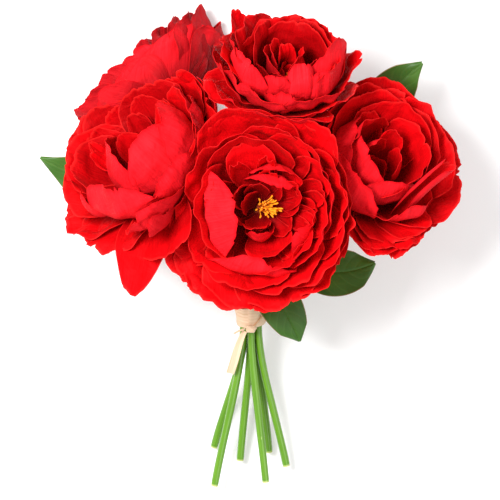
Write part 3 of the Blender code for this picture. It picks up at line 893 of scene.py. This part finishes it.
def stem_plastic():
    """Yellow-green polyethylene with faint flow lines, pale where it is cut."""
    material, shader = new_material("moulded_polyethylene")
    where = add_node(material, "Attribute", attribute_name="rod_at").outputs["Vector"]
    place = add_node(material, "SeparateXYZ", {"Vector": where})
    flow_at = add_node(material, "Mapping", {
        "Vector": where, "Scale": (1 / FLOW_LINE, 1 / FLOW_LENGTH, 1.0)})
    flow = add_node(material, "TexNoise", {"Vector": flow_at, "Scale": 1.0, "Detail": 3.0})
    green = add_node(material, "Mix", {"Factor": flow, "A": "#3a6c08", "B": "#72a426"}, data_type="RGBA")
    cut = add_node(material, "MapRange", {"Value": place.outputs["Z"], "From Min": 0.5, "From Max": 1.0})
    colour = add_node(material, "Mix", {"Factor": cut, "A": green, "B": "#d3d58e"}, data_type="RGBA")
    relief = add_node(material, "Bump", {"Height": flow, "Strength": 0.3, "Distance": 0.2 * MM})
    set_inputs(material, shader, {"Base Color": colour, "Normal": relief, "Roughness": 0.14, "IOR": 1.58})
    return material


green_plastic = stem_plastic()
print("stem plastic has", len(green_plastic.node_tree.nodes), "nodes")

# %% The stems
TIE_CENTRE = np.array((0.6, -40.0, 36.0))
BUNCH_RISE = math.radians(20.0)
BUNCH_AXIS = np.array((0.0, math.cos(BUNCH_RISE), math.sin(BUNCH_RISE)))
ACROSS = np.array((1.0, 0.0, 0.0))
BUNCH_FRONT = np.cross(ACROSS, BUNCH_AXIS)
TIE_RING = 5.1           # mm from the middle stem to the ring of the other five
TIE_LENGTH = 15.0
CALYX_HEIGHT = 9.0
JOINT_GAP = 0.35
STEM_FAN = 25.0          # mm of pull that fans the stems out below the tie
STEM_BEND = 20.0         # mm of pull that bends them in under their flowers
STEM_NECK = 2.5          # mm that run straight into the calyx
STEM_STEP = 3.0          # mm between the rings of points along a stem
STEM_SWELL = 0.02        # share by which a stem's thickness wanders
CUT_ROUNDING = 0.93      # the cutter rounds the end a little
STEM_SHIFT = 300         # keeps two stems from sharing one pattern of flow lines
NICK_STEP = 9            # steps from the cut end to the nick in the front stem
STEMS = {                # the stem's place in the ring in degrees, and its cut end
    "front": (90, (9.9, -145.5, 22)), "left": (155, (-22.3, -148.0, 16)), "right": (25, (22.9, -135.5, 12)),
    "top": (None, (-6.2, -132.0, 9)), "back_left": (230, (-22.6, -124.0, 5.0)),
    "back_right": (322, (12.0, -127.0, 5.0)),
}


def tie_place(slot, along):
    """Where a stem passes the tie, some way along the bunch from the tie's middle."""
    place = TIE_CENTRE + BUNCH_AXIS * along
    if slot is None:
        return place
    angle = math.radians(slot)
    return place + TIE_RING * (ACROSS * math.cos(angle) + BUNCH_FRONT * math.sin(angle))


def stem_path(flower):
    """The middle line of a flower's stem, from its cut end to its calyx."""
    slot, cut = STEMS[flower.name]
    low, high = tie_place(slot, -TIE_LENGTH / 2), tie_place(slot, TIE_LENGTH / 2)
    top = flower.top - flower.axis * (CALYX_HEIGHT + JOINT_GAP)
    neck = top - flower.axis * STEM_NECK
    reach = np.linalg.norm(top - high)
    below = bezier(cut, cut + 0.4 * (low - cut), low - BUNCH_AXIS * STEM_FAN, low, 13)
    above = bezier(high, high + BUNCH_AXIS * 0.3 * reach, neck - flower.axis * STEM_BEND, neck, 16)
    return smooth_path(np.vstack([below, above, top[None]]), STEM_STEP)


for number, flower in enumerate(flowers.values()):
    path = stem_path(flower)
    rng = np.random.default_rng(500 + number)
    radii = STEM_RADIUS * (1.0 + STEM_SWELL * np.sin(np.arange(len(path)) * 0.5 + rng.uniform(0, 6)))
    radii[0] *= CUT_ROUNDING
    rod = rod_arrays(path, radii, STEM_SIDES)
    turn = np.tile(np.arange(STEM_SIDES), len(path)) * 2 * math.pi / STEM_SIDES
    lengths = np.repeat(np.arange(len(path)), STEM_SIDES) * STEM_STEP
    where = np.stack([turn * STEM_RADIUS, lengths + STEM_SHIFT * number, np.zeros(len(turn))], -1)
    where[:STEM_SIDES, 2] = 1.0          # the cut shows as a paler band
    if flower.name == "front":           # a small nick in the plastic
        first = NICK_STEP * STEM_SIDES
        where[first + rod[0][first:first + STEM_SIDES, 2].argmax(), 2] = 0.9
    where = np.vstack([where, [[0.0, 0.0, 1.0], [0.0, 0.0, 0.0]]])
    piece = mesh_object(flower.name + "_moulded_stem", [rod], green_plastic, {"rod_at": where}, sharp=40)
    stand_for(piece, "stem_plastic", flower.name + "_stem")
    stray = np.linalg.norm(node_points(flower.name + "_stem")[:, None] - path[None], axis=2).min(1)
    print(flower.name, "stem is", round(len(path) * STEM_STEP), "mm long; solid within",
          round(stray.max(), 2), "mm")

# %% [markdown]
# ## Calyxes
#
# A calyx is the green cup that the petals are glued to.  A real one is moulded as
# a small turned bell with five pointed sepals that lie against the underside of
# the flower.  They only show from the back and the sides.

# %% Bells and sepals
BELL = (                 # heights, counted up to the flower, and radii of the turned bell
    (-11.0, 2.6), (-9.0, 3.2), (-6.75, 4.42), (-4.5, 5.59), (-2.7, 6.24), (-0.9, 6.5), (-0.05, 6.305),
)
BELL_SIDES = 32
SEPAL_COUNT = 5
SEPAL_THICKNESS = 0.5
SEPAL = dict(order=5, base=4.0, start=-8.0, end=28.0, belly=0.4, up=2.4, width=15.0, bend=14.0, point=0.55,
             round_off=0.0, lip=0.0, ruffle=0.4, crumpled=0.25, cuts=0, rows=18, columns=16)
SEPAL_REACH = 25.0       # mm from the middle of a full-size flower to the tip of a sepal

for number, flower in enumerate(flowers.values()):
    path = [flower.top + height * flower.axis for height, _ in BELL]
    parts = [rod_arrays(path, [radius for _, radius in BELL], BELL_SIDES)]
    for i in range(SEPAL_COUNT):
        grid = petal_grid(flower, angle=i * 360 / SEPAL_COUNT + 20, out=SEPAL_REACH * flower.size,
                          seed=700 + number * SEPAL_COUNT + i, **SEPAL)[0]
        parts.append(sheet_arrays(grid, SEPAL_THICKNESS))
    where = np.vstack([points for points, *_ in parts]) * (1.0, 1.0, 0.0)
    piece = mesh_object(flower.name + "_bell_and_sepals", parts, green_plastic, {"rod_at": where})
    stand_for(piece, "stem_plastic", flower.name + "_calyx")
print("six calyxes, each with five sepals")

# %% [markdown]
# ## Stamens
#
# The stamens are stiffened threads with their tips dipped in thick yellow paint,
# bunched on a wire.  Each is a thin rod that swells into a tip.  They splay out
# like a brush, and the front flower's brush leans over to the right.

# %% Dipped threads
THREADS = 46
THREAD_RADIUS = 0.28
TIP_RADIUS = 0.62
THREAD_SIDES = 8
TURN_BETWEEN = 2.4       # radians from one thread to the next, which spreads them evenly
BINDING_HEIGHT = 7.8     # mm over the calyx where the threads are bound
BINDING_RADIUS = 2.0
BRUSH_RADIUS = 5.2       # mm more that the tips spread
TIP_STRAY = 1.5          # mm that a tip may stray
BRUSH_LEAN = {"front": (0.75, 0.0, 0.0)}   # sideways for each millimetre up
HIDDEN_SHARE = 0.3       # the brush in a closed flower is pressed down to this share
CORE = ((0.1, 6.3), (1.2, 3.2), (6.5, 3.0), (9.0, 1.8))   # heights and radii of the glued core
CORE_SIDES = 16


def stamen_thread():
    """Orange thread with a paint-dipped yellow tip and a few darker, drier spots."""
    material, shader = new_material("paint_dipped_thread")
    where = add_node(material, "Attribute", attribute_name="rod_at").outputs["Vector"]
    place = add_node(material, "SeparateXYZ", {"Vector": where})
    specks = add_node(material, "TexNoise", {"Vector": where, "Scale": 1.2, "Detail": 2.0})
    tip = add_node(material, "Mix", {"Factor": specks, "A": "#ec7a00", "B": "#ffb81c"}, data_type="RGBA")
    stalk = add_node(material, "Mix", {"Factor": specks, "A": "#7c0c02", "B": "#d04c06"}, data_type="RGBA")
    dipped = add_node(material, "MapRange", {
        "Value": place.outputs["Z"], "From Min": 0.35, "From Max": 0.6})
    colour = add_node(material, "Mix", {"Factor": dipped, "A": stalk, "B": tip}, data_type="RGBA")
    relief = add_node(material, "Bump", {"Height": specks, "Strength": 0.5, "Distance": 0.15 * MM})
    set_inputs(material, shader, {"Base Color": colour, "Normal": relief, "Roughness": 0.55})
    return material


yellow_thread = stamen_thread()
print("thread has", len(yellow_thread.node_tree.nodes), "nodes")

# %% The brushes
def stamen(flower, i, rng):
    """One thread of a flower's brush, and for each of its points the place along it."""
    lean = np.array(BRUSH_LEAN.get(flower.name, (0.0, 0.0, 0.0)))
    around = i * TURN_BETWEEN + rng.uniform(-0.3, 0.3)
    spread = math.sqrt((i + 0.5) / THREADS)
    outward = math.cos(around) * flower.down + math.sin(around) * flower.right
    foot = flower.top + flower.axis * BINDING_HEIGHT + outward * BINDING_RADIUS * spread
    height = rng.uniform(8.0, 12.5) - 3.0 * spread**2
    height = height * (1.0 if flower.name in BRUSH_LEAN else HIDDEN_SHARE)
    tip = foot + flower.axis * height + outward * BRUSH_RADIUS * spread + lean * height
    tip = tip + rng.uniform(-TIP_STRAY, TIP_STRAY, 3)
    arriving = flower.axis + 0.9 * spread * outward
    path = bezier(foot, foot + flower.axis * 4.0, tip - arriving * 2.5, tip, 12)
    share = np.linspace(0, 1, len(path))
    radii = THREAD_RADIUS + (TIP_RADIUS - THREAD_RADIUS) * np.exp(-((share - 0.86) / 0.12)**4)
    radii[-1] = 0.55 * TIP_RADIUS
    rod = rod_arrays(path, radii, THREAD_SIDES)
    share = np.concatenate([np.repeat(share, THREAD_SIDES), [0.0, 1.0]])
    return rod, np.column_stack([rod[0][:, :2], share])


for number, flower in enumerate(flowers.values()):
    rng = np.random.default_rng(900 + number)
    threads = [stamen(flower, i, rng) for i in range(THREADS)]
    path = [flower.top + flower.axis * height for height, _ in CORE]
    core = rod_arrays(path, [radius for _, radius in CORE], CORE_SIDES)
    threads.append((core, core[0] * (1, 1, 0) + (0, 0, 0.2)))
    piece = mesh_object(flower.name + "_stamen_brush", [rod for rod, _ in threads], yellow_thread,
                        {"rod_at": np.vstack([where for _, where in threads])})
    stand_for(piece, "stamen_plastic", flower.name + "_stamens")
print("six brushes of", THREADS, "stamens")

# %% [markdown]
# ## Leaves
#
# A leaf is cloth coated with green plastic and pressed in a veined mould, then
# trimmed, so a thin tan line of bare cloth shows round its edge.  Its midrib is a
# groove with pairs of side veins that curve towards the tip.  The grooves are
# pressed into the sheet itself, and the same values tint the veins.

# %% Plastic-coated cloth
LEAF_THICKNESS = 0.7
LEAF_GRAIN = 0.9         # mm across the pressed grain of the coating
PATCH_WIDTH = 1 / 0.12   # mm across a lighter patch
PATCH_LENGTH = 1 / 0.05
STALK_HALF = 1.2         # mm, half the width of the stalk
TIP_TAPER = 60.0         # mm of half width per length of the leaf at its tip
VEIN_PAIRS = 7
RIB_WIDTH = 0.55         # mm from the middle of the midrib to its side
RIB_DEPTH = 0.55
VEIN_DEPTH = 0.16
VEIN_BLEND = 0.3         # how strongly the veins' paler green shows


def leaf_cloth():
    """Satin green coating with paler veins, a fine grain and a tan trimmed edge."""
    material, shader = new_material("plastic_coated_leaf_cloth")
    where = add_node(material, "Attribute", attribute_name="leaf_at").outputs["Vector"]
    look = add_node(material, "Attribute", attribute_name="leaf_look").outputs["Vector"]
    look = add_node(material, "SeparateXYZ", {"Vector": look})
    vein, edge, underside = (look.outputs[axis] for axis in "XYZ")
    patches_at = add_node(material, "Mapping", {
        "Vector": where, "Scale": (1 / PATCH_WIDTH, 1 / PATCH_LENGTH, 1.0)})
    patches = add_node(material, "TexNoise", {"Vector": patches_at, "Scale": 1.0, "Detail": 2.0})
    grain_at = add_node(material, "Mapping", {
        "Vector": where, "Scale": (1 / LEAF_GRAIN, 1 / LEAF_GRAIN, 1.0)})
    grain = add_node(material, "TexNoise", {"Vector": grain_at, "Scale": 1.0, "Detail": 2.0})
    green = add_node(material, "Mix", {"Factor": patches, "A": "#234a12", "B": "#4a7628"}, data_type="RGBA")
    green = add_node(material, "Mix", {"Factor": underside, "A": green, "B": "#4d7748"}, data_type="RGBA")
    paler = add_node(material, "MapRange", {"Value": vein, "To Max": VEIN_BLEND})
    green = add_node(material, "Mix", {"Factor": paler, "A": green, "B": "#668e40"}, data_type="RGBA")
    trimmed = add_node(material, "MapRange", {"Value": edge, "From Min": 0.955, "From Max": 0.985})
    colour = add_node(material, "Mix", {"Factor": trimmed, "A": green, "B": "#8a7a48"}, data_type="RGBA")
    relief = add_node(material, "Bump", {"Height": grain, "Strength": 0.35, "Distance": 0.12 * MM})
    set_inputs(material, shader, {
        "Base Color": colour, "Normal": relief, "Roughness": 0.44, "Specular IOR Level": 0.28})
    return material


green_leaf = leaf_cloth()
print("leaf cloth has", len(green_leaf.node_tree.nodes), "nodes")

# %% Veined leaves
LEAVES = {
    "left_leaf": dict(bend=(-80, 34, 26), tip=(-131, 57, 36), width=36, stalk=0.3,
                      fold=0.1, roll=22, droop=2.0, full=0.6),
    "upper_right_leaf": dict(bend=(74, 94, 36), tip=(107, 116, 54), width=32, stalk=0.2,
                             fold=0.15, roll=-10, droop=1.0, full=0.7),
    "lower_right_leaf": dict(bend=(50, -21, 62), tip=(77.5, -8, 66), width=32, stalk=0.12,
                             fold=0.1, roll=0, droop=2.0, full=0.5),
    "bottom_leaf": dict(bend=(18, -28, 66), tip=(31, -57, 58), width=28, stalk=0.1,
                        fold=0.12, roll=0, droop=1.5, full=0.45),
}


def leaf_piece(node, bend, tip, width, stalk, fold, roll, droop, full, rows=90, columns=40):
    """A leaf from the stalk's end, which the node gives, to its tip."""
    solid = node_points(node)
    bend, tip = np.array(bend, float), np.array(tip, float)
    far = solid[np.argmax(np.linalg.norm(solid - tip, axis=1))]
    root = solid[np.linalg.norm(solid - far, axis=1) < 3.0].mean(0)
    size = np.linalg.norm(tip - root)
    rng = np.random.default_rng(len(node))
    t = np.linspace(0.0, 1.0, rows + 1)[:, None]            # from the stalk's end to the tip
    u = np.linspace(-1.0, 1.0, columns + 1)[None, :]        # from side to side

    # the outline
    middle = root * (1 - t)**2 + bend * 2 * t * (1 - t) + tip * t**2
    heading = unit((bend - root) * (1 - t) + (tip - bend) * t)
    across = unit(np.cross(heading, (0.0, 0.0, 1.0)))
    normal = np.cross(across, heading)
    blade = np.clip((t - stalk) / (1.0 - stalk), 0.0, 1.0)
    half = np.maximum(STALK_HALF, width / 2 * np.sin(math.pi * blade)**full * (1.0 - 0.12 * blade))
    half = np.minimum(half, STALK_HALF / 2 + (1.0 - t) * TIP_TAPER)
    side = half * u

    # the fold, soft waves and pressed veins
    lift = fold * half * np.abs(u)**1.3 - droop * smooth_step(blade)**2 * u**2
    lift = lift + 0.5 * crumple(rng, side, t * size, 18.0) * smooth_step(blade * 3)
    lift = lift + 0.9 * blade * np.sin(u * 2.5 + t * 11.0 + rng.uniform(0, 6)) * np.abs(u)**2
    rib = np.exp(-(side / RIB_WIDTH)**2)
    order = (blade + 0.02) * VEIN_PAIRS - 1.9 * np.abs(u)**1.2 + 0.25 * np.sign(u)
    has_veins = (np.abs(u) < 0.93) * (blade > 0.02) * (half > 2.0)
    side_vein = np.exp(-((order - np.round(order)) / 0.07)**2) * has_veins
    lift = lift - RIB_DEPTH * rib * (blade > 0) - VEIN_DEPTH * side_vein

    # the roll, then the sheet and its values
    turn = np.radians(roll) * smooth_step((t - 0.45) / 0.55)
    rolled = side * np.cos(turn) - lift * np.sin(turn)
    lift = side * np.sin(turn) + lift * np.cos(turn)
    grid = middle[:, None] + rolled[..., None] * across[:, None] + lift[..., None] * normal[:, None]
    vein = np.clip(rib + 0.6 * side_vein, 0.0, 1.0)
    edge = np.abs(u) * (blade > 0)
    look = [np.stack([vein, edge, np.full_like(vein, under)], -1).reshape(-1, 3) for under in (0.0, 1.0)]
    where = np.stack([side, t * size + 0 * u, np.full_like(vein, len(node))], -1).reshape(-1, 3)
    piece = mesh_object(node + "_veined", [sheet_arrays(grid, LEAF_THICKNESS)], green_leaf,
                        {"leaf_at": np.vstack([where, where]), "leaf_look": np.vstack(look)})
    stand_for(piece, "leaf_plastic", node)
    print(node, "is", round(size), "mm long")


for node, shape in LEAVES.items():
    leaf_piece(node, **shape)

# %% [markdown]
# ## The raffia tie
#
# Raffia is the dried skin of a palm leaf: a flat, papery strip with long streaks
# that splits along its length.  A wide strip is wound three times round the stems
# and its upper edge stands off in soft pleats.  One thin, browner strand crosses
# it, and the strip ends in a small knot with a short and a long tail.

# %% Dry raffia
STREAK_WIDTH = 1.3       # mm between the streaks, twice the real spacing so that they show
STREAK_LENGTH = 30.0
STREAK_SHIFT = 40.0      # keeps two strips from sharing one pattern of streaks


def raffia():
    """Cream palm fibre with long tan streaks."""
    material, shader = new_material("dry_raffia")
    where = add_node(material, "Attribute", attribute_name="strip_at").outputs["Vector"]
    place = add_node(material, "SeparateXYZ", {"Vector": where})
    streaks_at = add_node(material, "Mapping", {
        "Vector": where, "Scale": (1 / STREAK_WIDTH, 1 / STREAK_LENGTH, 1.0)})
    streaks = add_node(material, "TexNoise", {
        "Vector": streaks_at, "Scale": 1.0, "Detail": 4.0, "Roughness": 0.65})
    cream = add_node(material, "Mix", {"Factor": streaks, "A": "#b88a58", "B": "#fbe6cc"}, data_type="RGBA")
    colour = add_node(material, "Mix", {
        "Factor": place.outputs["Z"], "A": cream, "B": "#c98a4c"}, data_type="RGBA")
    relief = add_node(material, "Bump", {"Height": streaks, "Strength": 0.7, "Distance": 0.35 * MM})
    set_inputs(material, shader, {
        "Base Color": colour, "Normal": relief, "Roughness": 0.72, "Specular IOR Level": 0.3})
    return material


cream_raffia = raffia()
print("raffia has", len(cream_raffia.node_tree.nodes), "nodes")

# %% Strips of raffia
RAFFIA_THICKNESS = 0.4


def strip_grid(path, width, up, columns=14, cupped=0.0, twist=0.0):
    """A flat strip along a path, its face turned up, with its place along and across."""
    along = unit(np.gradient(path, axis=0))
    across = unit(np.cross(along, up))
    face = np.cross(across, along)
    u = np.linspace(-1.0, 1.0, columns + 1)[None, :]
    turn = np.radians(twist) * np.linspace(0.0, 1.0, len(path))[:, None]
    half = np.broadcast_to(width, len(path))[:, None] / 2
    side, lift = half * u, cupped * half * (u**2 - 0.4)
    side, lift = side * np.cos(turn) - lift * np.sin(turn), side * np.sin(turn) + lift * np.cos(turn)
    grid = path[:, None] + side[..., None] * across[:, None] + lift[..., None] * face[:, None]
    lengths = np.concatenate([[0.0], np.cumsum(np.linalg.norm(np.diff(path, axis=0), axis=1))])
    where = np.stack([half * u, lengths[:, None] * np.ones_like(u), np.zeros_like(half * u)], -1)
    return grid, where


def strip_piece(name, strips, *nodes, brown=0.0):
    """Join strips of raffia, each a grid with its places, into one piece."""
    parts, all_where = [], []
    for grid, where in strips:
        all_where += [where.reshape(-1, 3) + (0.0, STREAK_SHIFT * len(parts), brown)] * 2
        parts.append(sheet_arrays(grid, RAFFIA_THICKNESS))
    piece = mesh_object(name, parts, cream_raffia, {"strip_at": np.vstack(all_where)})
    return stand_for(piece, "raffia", *nodes)


# %% The wound strip
WRAP_RADIUS = TIE_RING + STEM_RADIUS + 0.65
WRAP_TURNS = 3.1
WRAP_START = 1.1         # radians round the stems where the strip begins
WRAP_CLIMB = 3.2         # mm that the strip climbs in all
WRAP_BUILD = 0.28        # mm that each turn adds to the radius
STRIP_WIDTH = 11.5
WRAP_FLARE = 1.9         # mm that the upper edge stands off
PLEATS = 13
PLEAT_DEPTH = 0.6


def round_tie(height, radius, turn):
    """Places at heights along the tie, distances from its middle and turns in radians."""
    return (TIE_CENTRE + height[..., None] * BUNCH_AXIS + (radius * np.cos(turn))[..., None] * ACROSS
            + (radius * np.sin(turn))[..., None] * BUNCH_FRONT)


turn = np.linspace(0.0, WRAP_TURNS * 2 * math.pi, 220)[:, None]
u = np.linspace(-1.0, 1.0, 19)[None, :]
climb = WRAP_CLIMB * (turn / turn.max() - 0.5)
height = climb + STRIP_WIDTH / 2 * u * (1.0 - 0.12 * np.sin(turn * 1.3))
share = height / TIE_LENGTH + 0.5
radius = WRAP_RADIUS + WRAP_BUILD * turn / (2 * math.pi) + WRAP_FLARE * np.clip(share, 0, 1.1)**2
radius = radius + PLEAT_DEPTH * np.sin(PLEATS * turn + 2.0 * share) * np.clip(share, 0, 1)**2
radius = radius + 0.12 * np.sin(7.3 * turn + 4.0 * u)
where = np.stack([height, turn * WRAP_RADIUS + 0 * u, np.zeros_like(height)], -1)
strip_piece("raffia_wound_strip", [(round_tie(height, radius, turn + WRAP_START), where)], "raffia_wrap")
length = WRAP_TURNS * 2 * math.pi * WRAP_RADIUS
print("the strip goes round", WRAP_TURNS, "times,", round(length), "mm in all")

# %% The thin strand, the knot and the tails
STRIP_POINTS = 40
STRAND_BROWN = 0.6
KNOT_LOOPS = (           # tilt in degrees, half width, half height and width of the strip
    (20, 2.9, 1.5, 2.6), (-35, 2.6, 1.7, 2.4), (80, 2.0, 1.5, 2.2),
)
TAILS = {
    "raffia_long_tail": dict(route=((-3.1, -50.6, 43.5), (-7, -56, 43.5), (-9, -68, 40), (-12.5, -77, 34)),
                             width=5.2, cupped=0.12, twist=12),
    "raffia_short_tail": dict(route=((-3.0, -49, 46), (-5, -49.5, 47), (-8, -51, 47), (-10, -52, 45)),
                              width=1.2, cupped=0.5, twist=60),
}

height = 7.2 - 14.0 * np.linspace(0, 1, STRIP_POINTS)
radius = WRAP_RADIUS + 1.5 + WRAP_FLARE * np.clip(height / TIE_LENGTH + 0.5, 0, 1)**2
strand = round_tie(height, radius, np.linspace(0.25, 1.65, STRIP_POINTS))
strand = strip_grid(strand, 1.0, BUNCH_FRONT, columns=6, cupped=0.6, twist=120)
strip_piece("raffia_thin_strand", [strand], brown=STRAND_BROWN)

loops = []
around = np.linspace(0.0, 2 * math.pi * 0.98, STRIP_POINTS)
for tilt, wide, high, width in KNOT_LOOPS:
    sideways, tilt = np.cos(around) * wide, math.radians(tilt)
    loop = np.stack([sideways * math.cos(tilt), sideways * math.sin(tilt), np.sin(around) * high], -1)
    loops.append(strip_grid(KNOT_PLACE + loop, width, unit(loop), cupped=-0.35))
strip_piece("raffia_knot_loops", loops, "raffia_knot")

for node, tail in TAILS.items():
    path = bezier(*tail["route"], STRIP_POINTS)
    taper = tail["width"] * (0.72 + 0.28 * np.sin(np.linspace(-0.6, 2.2, STRIP_POINTS)))
    strip = strip_grid(path, taper, (0.0, 0.0, 1.0), cupped=tail["cupped"], twist=tail["twist"])
    strip_piece(node + "_strip", [strip], node)
print("knot, strand and two tails")

# %% [markdown]
# ## Table, light and camera
#
# The bunch lies on a pale light table that is large enough to fill any view.  Two
# soft boxes and bright surroundings light it with hardly a shadow, and the camera
# looks straight down from far up, so that nothing looks slanted.

# %% Table, light and camera
TABLE_SIDE = 3000.0      # mm from the middle to an edge
TABLE_GAP = 0.05         # mm between the table and the lowest point
CAMERA_HEIGHT = 5000.0
SPAN_HEIGHT = 70.0      # mm up, where the view spans SPAN
SPAN = 310.0


def plain_table():
    """A pale, matt light table."""
    material, shader = new_material("opal_acrylic")
    set_inputs(material, shader, {
        "Base Color": "#dcdcdc", "Roughness": 0.9, "Specular IOR Level": 0.1,
        "Emission Color": (1.0, 1.0, 1.0, 1.0), "Emission Strength": 0.3})
    corners = TABLE_SIDE * np.array([(-1.0, -1.0, 0.0), (1.0, -1.0, 0.0), (1.0, 1.0, 0.0), (-1.0, 1.0, 0.0)])
    corners[:, 2] -= bunch_origin[2] + TABLE_GAP
    table = mesh_object("table", [(corners, np.array([[0, 1, 2, 3]]))], material)


def soft_light(name, place, size, power):
    """A square soft box that shines on the middle of the bunch."""
    data = bpy.data.lights.new(name, "AREA")
    data.size = size
    data.energy = power
    lamp = bpy.data.objects.new(name, data)
    lamp.location = place
    lamp.rotation_euler = (-Vector(place)).to_track_quat("-Z", "Y").to_euler()
    bpy.context.scene.collection.objects.link(lamp)


def studio():
    """White surroundings, two soft boxes and a long lens looking straight down."""
    scene = bpy.context.scene
    scene.world = bpy.data.worlds.new("studio")
    scene.world.use_nodes = True
    background = scene.world.node_tree.nodes["Background"]
    background.inputs["Color"].default_value = (1.0, 1.0, 1.0, 1.0)
    background.inputs["Strength"].default_value = 0.66
    soft_light("key_light", (-0.55, 0.28, 1.3), 0.5, 28.0)
    soft_light("fill_light", (0.7, -0.5, 1.2), 1.0, 5.0)
    scene.view_settings.view_transform = "Standard"
    scene.view_settings.look = "None"
    camera_data = bpy.data.cameras.new("camera")
    camera_data.sensor_width = 36.0
    camera_data.lens = camera_data.sensor_width * (CAMERA_HEIGHT - SPAN_HEIGHT) / SPAN
    camera_data.clip_end = 20.0
    camera = bpy.data.objects.new("camera", camera_data)
    camera.location = (bunch_origin[0] * MM, bunch_origin[1] * MM, CAMERA_HEIGHT * MM)
    scene.collection.objects.link(camera)
    scene.camera = camera


plain_table()
studio()
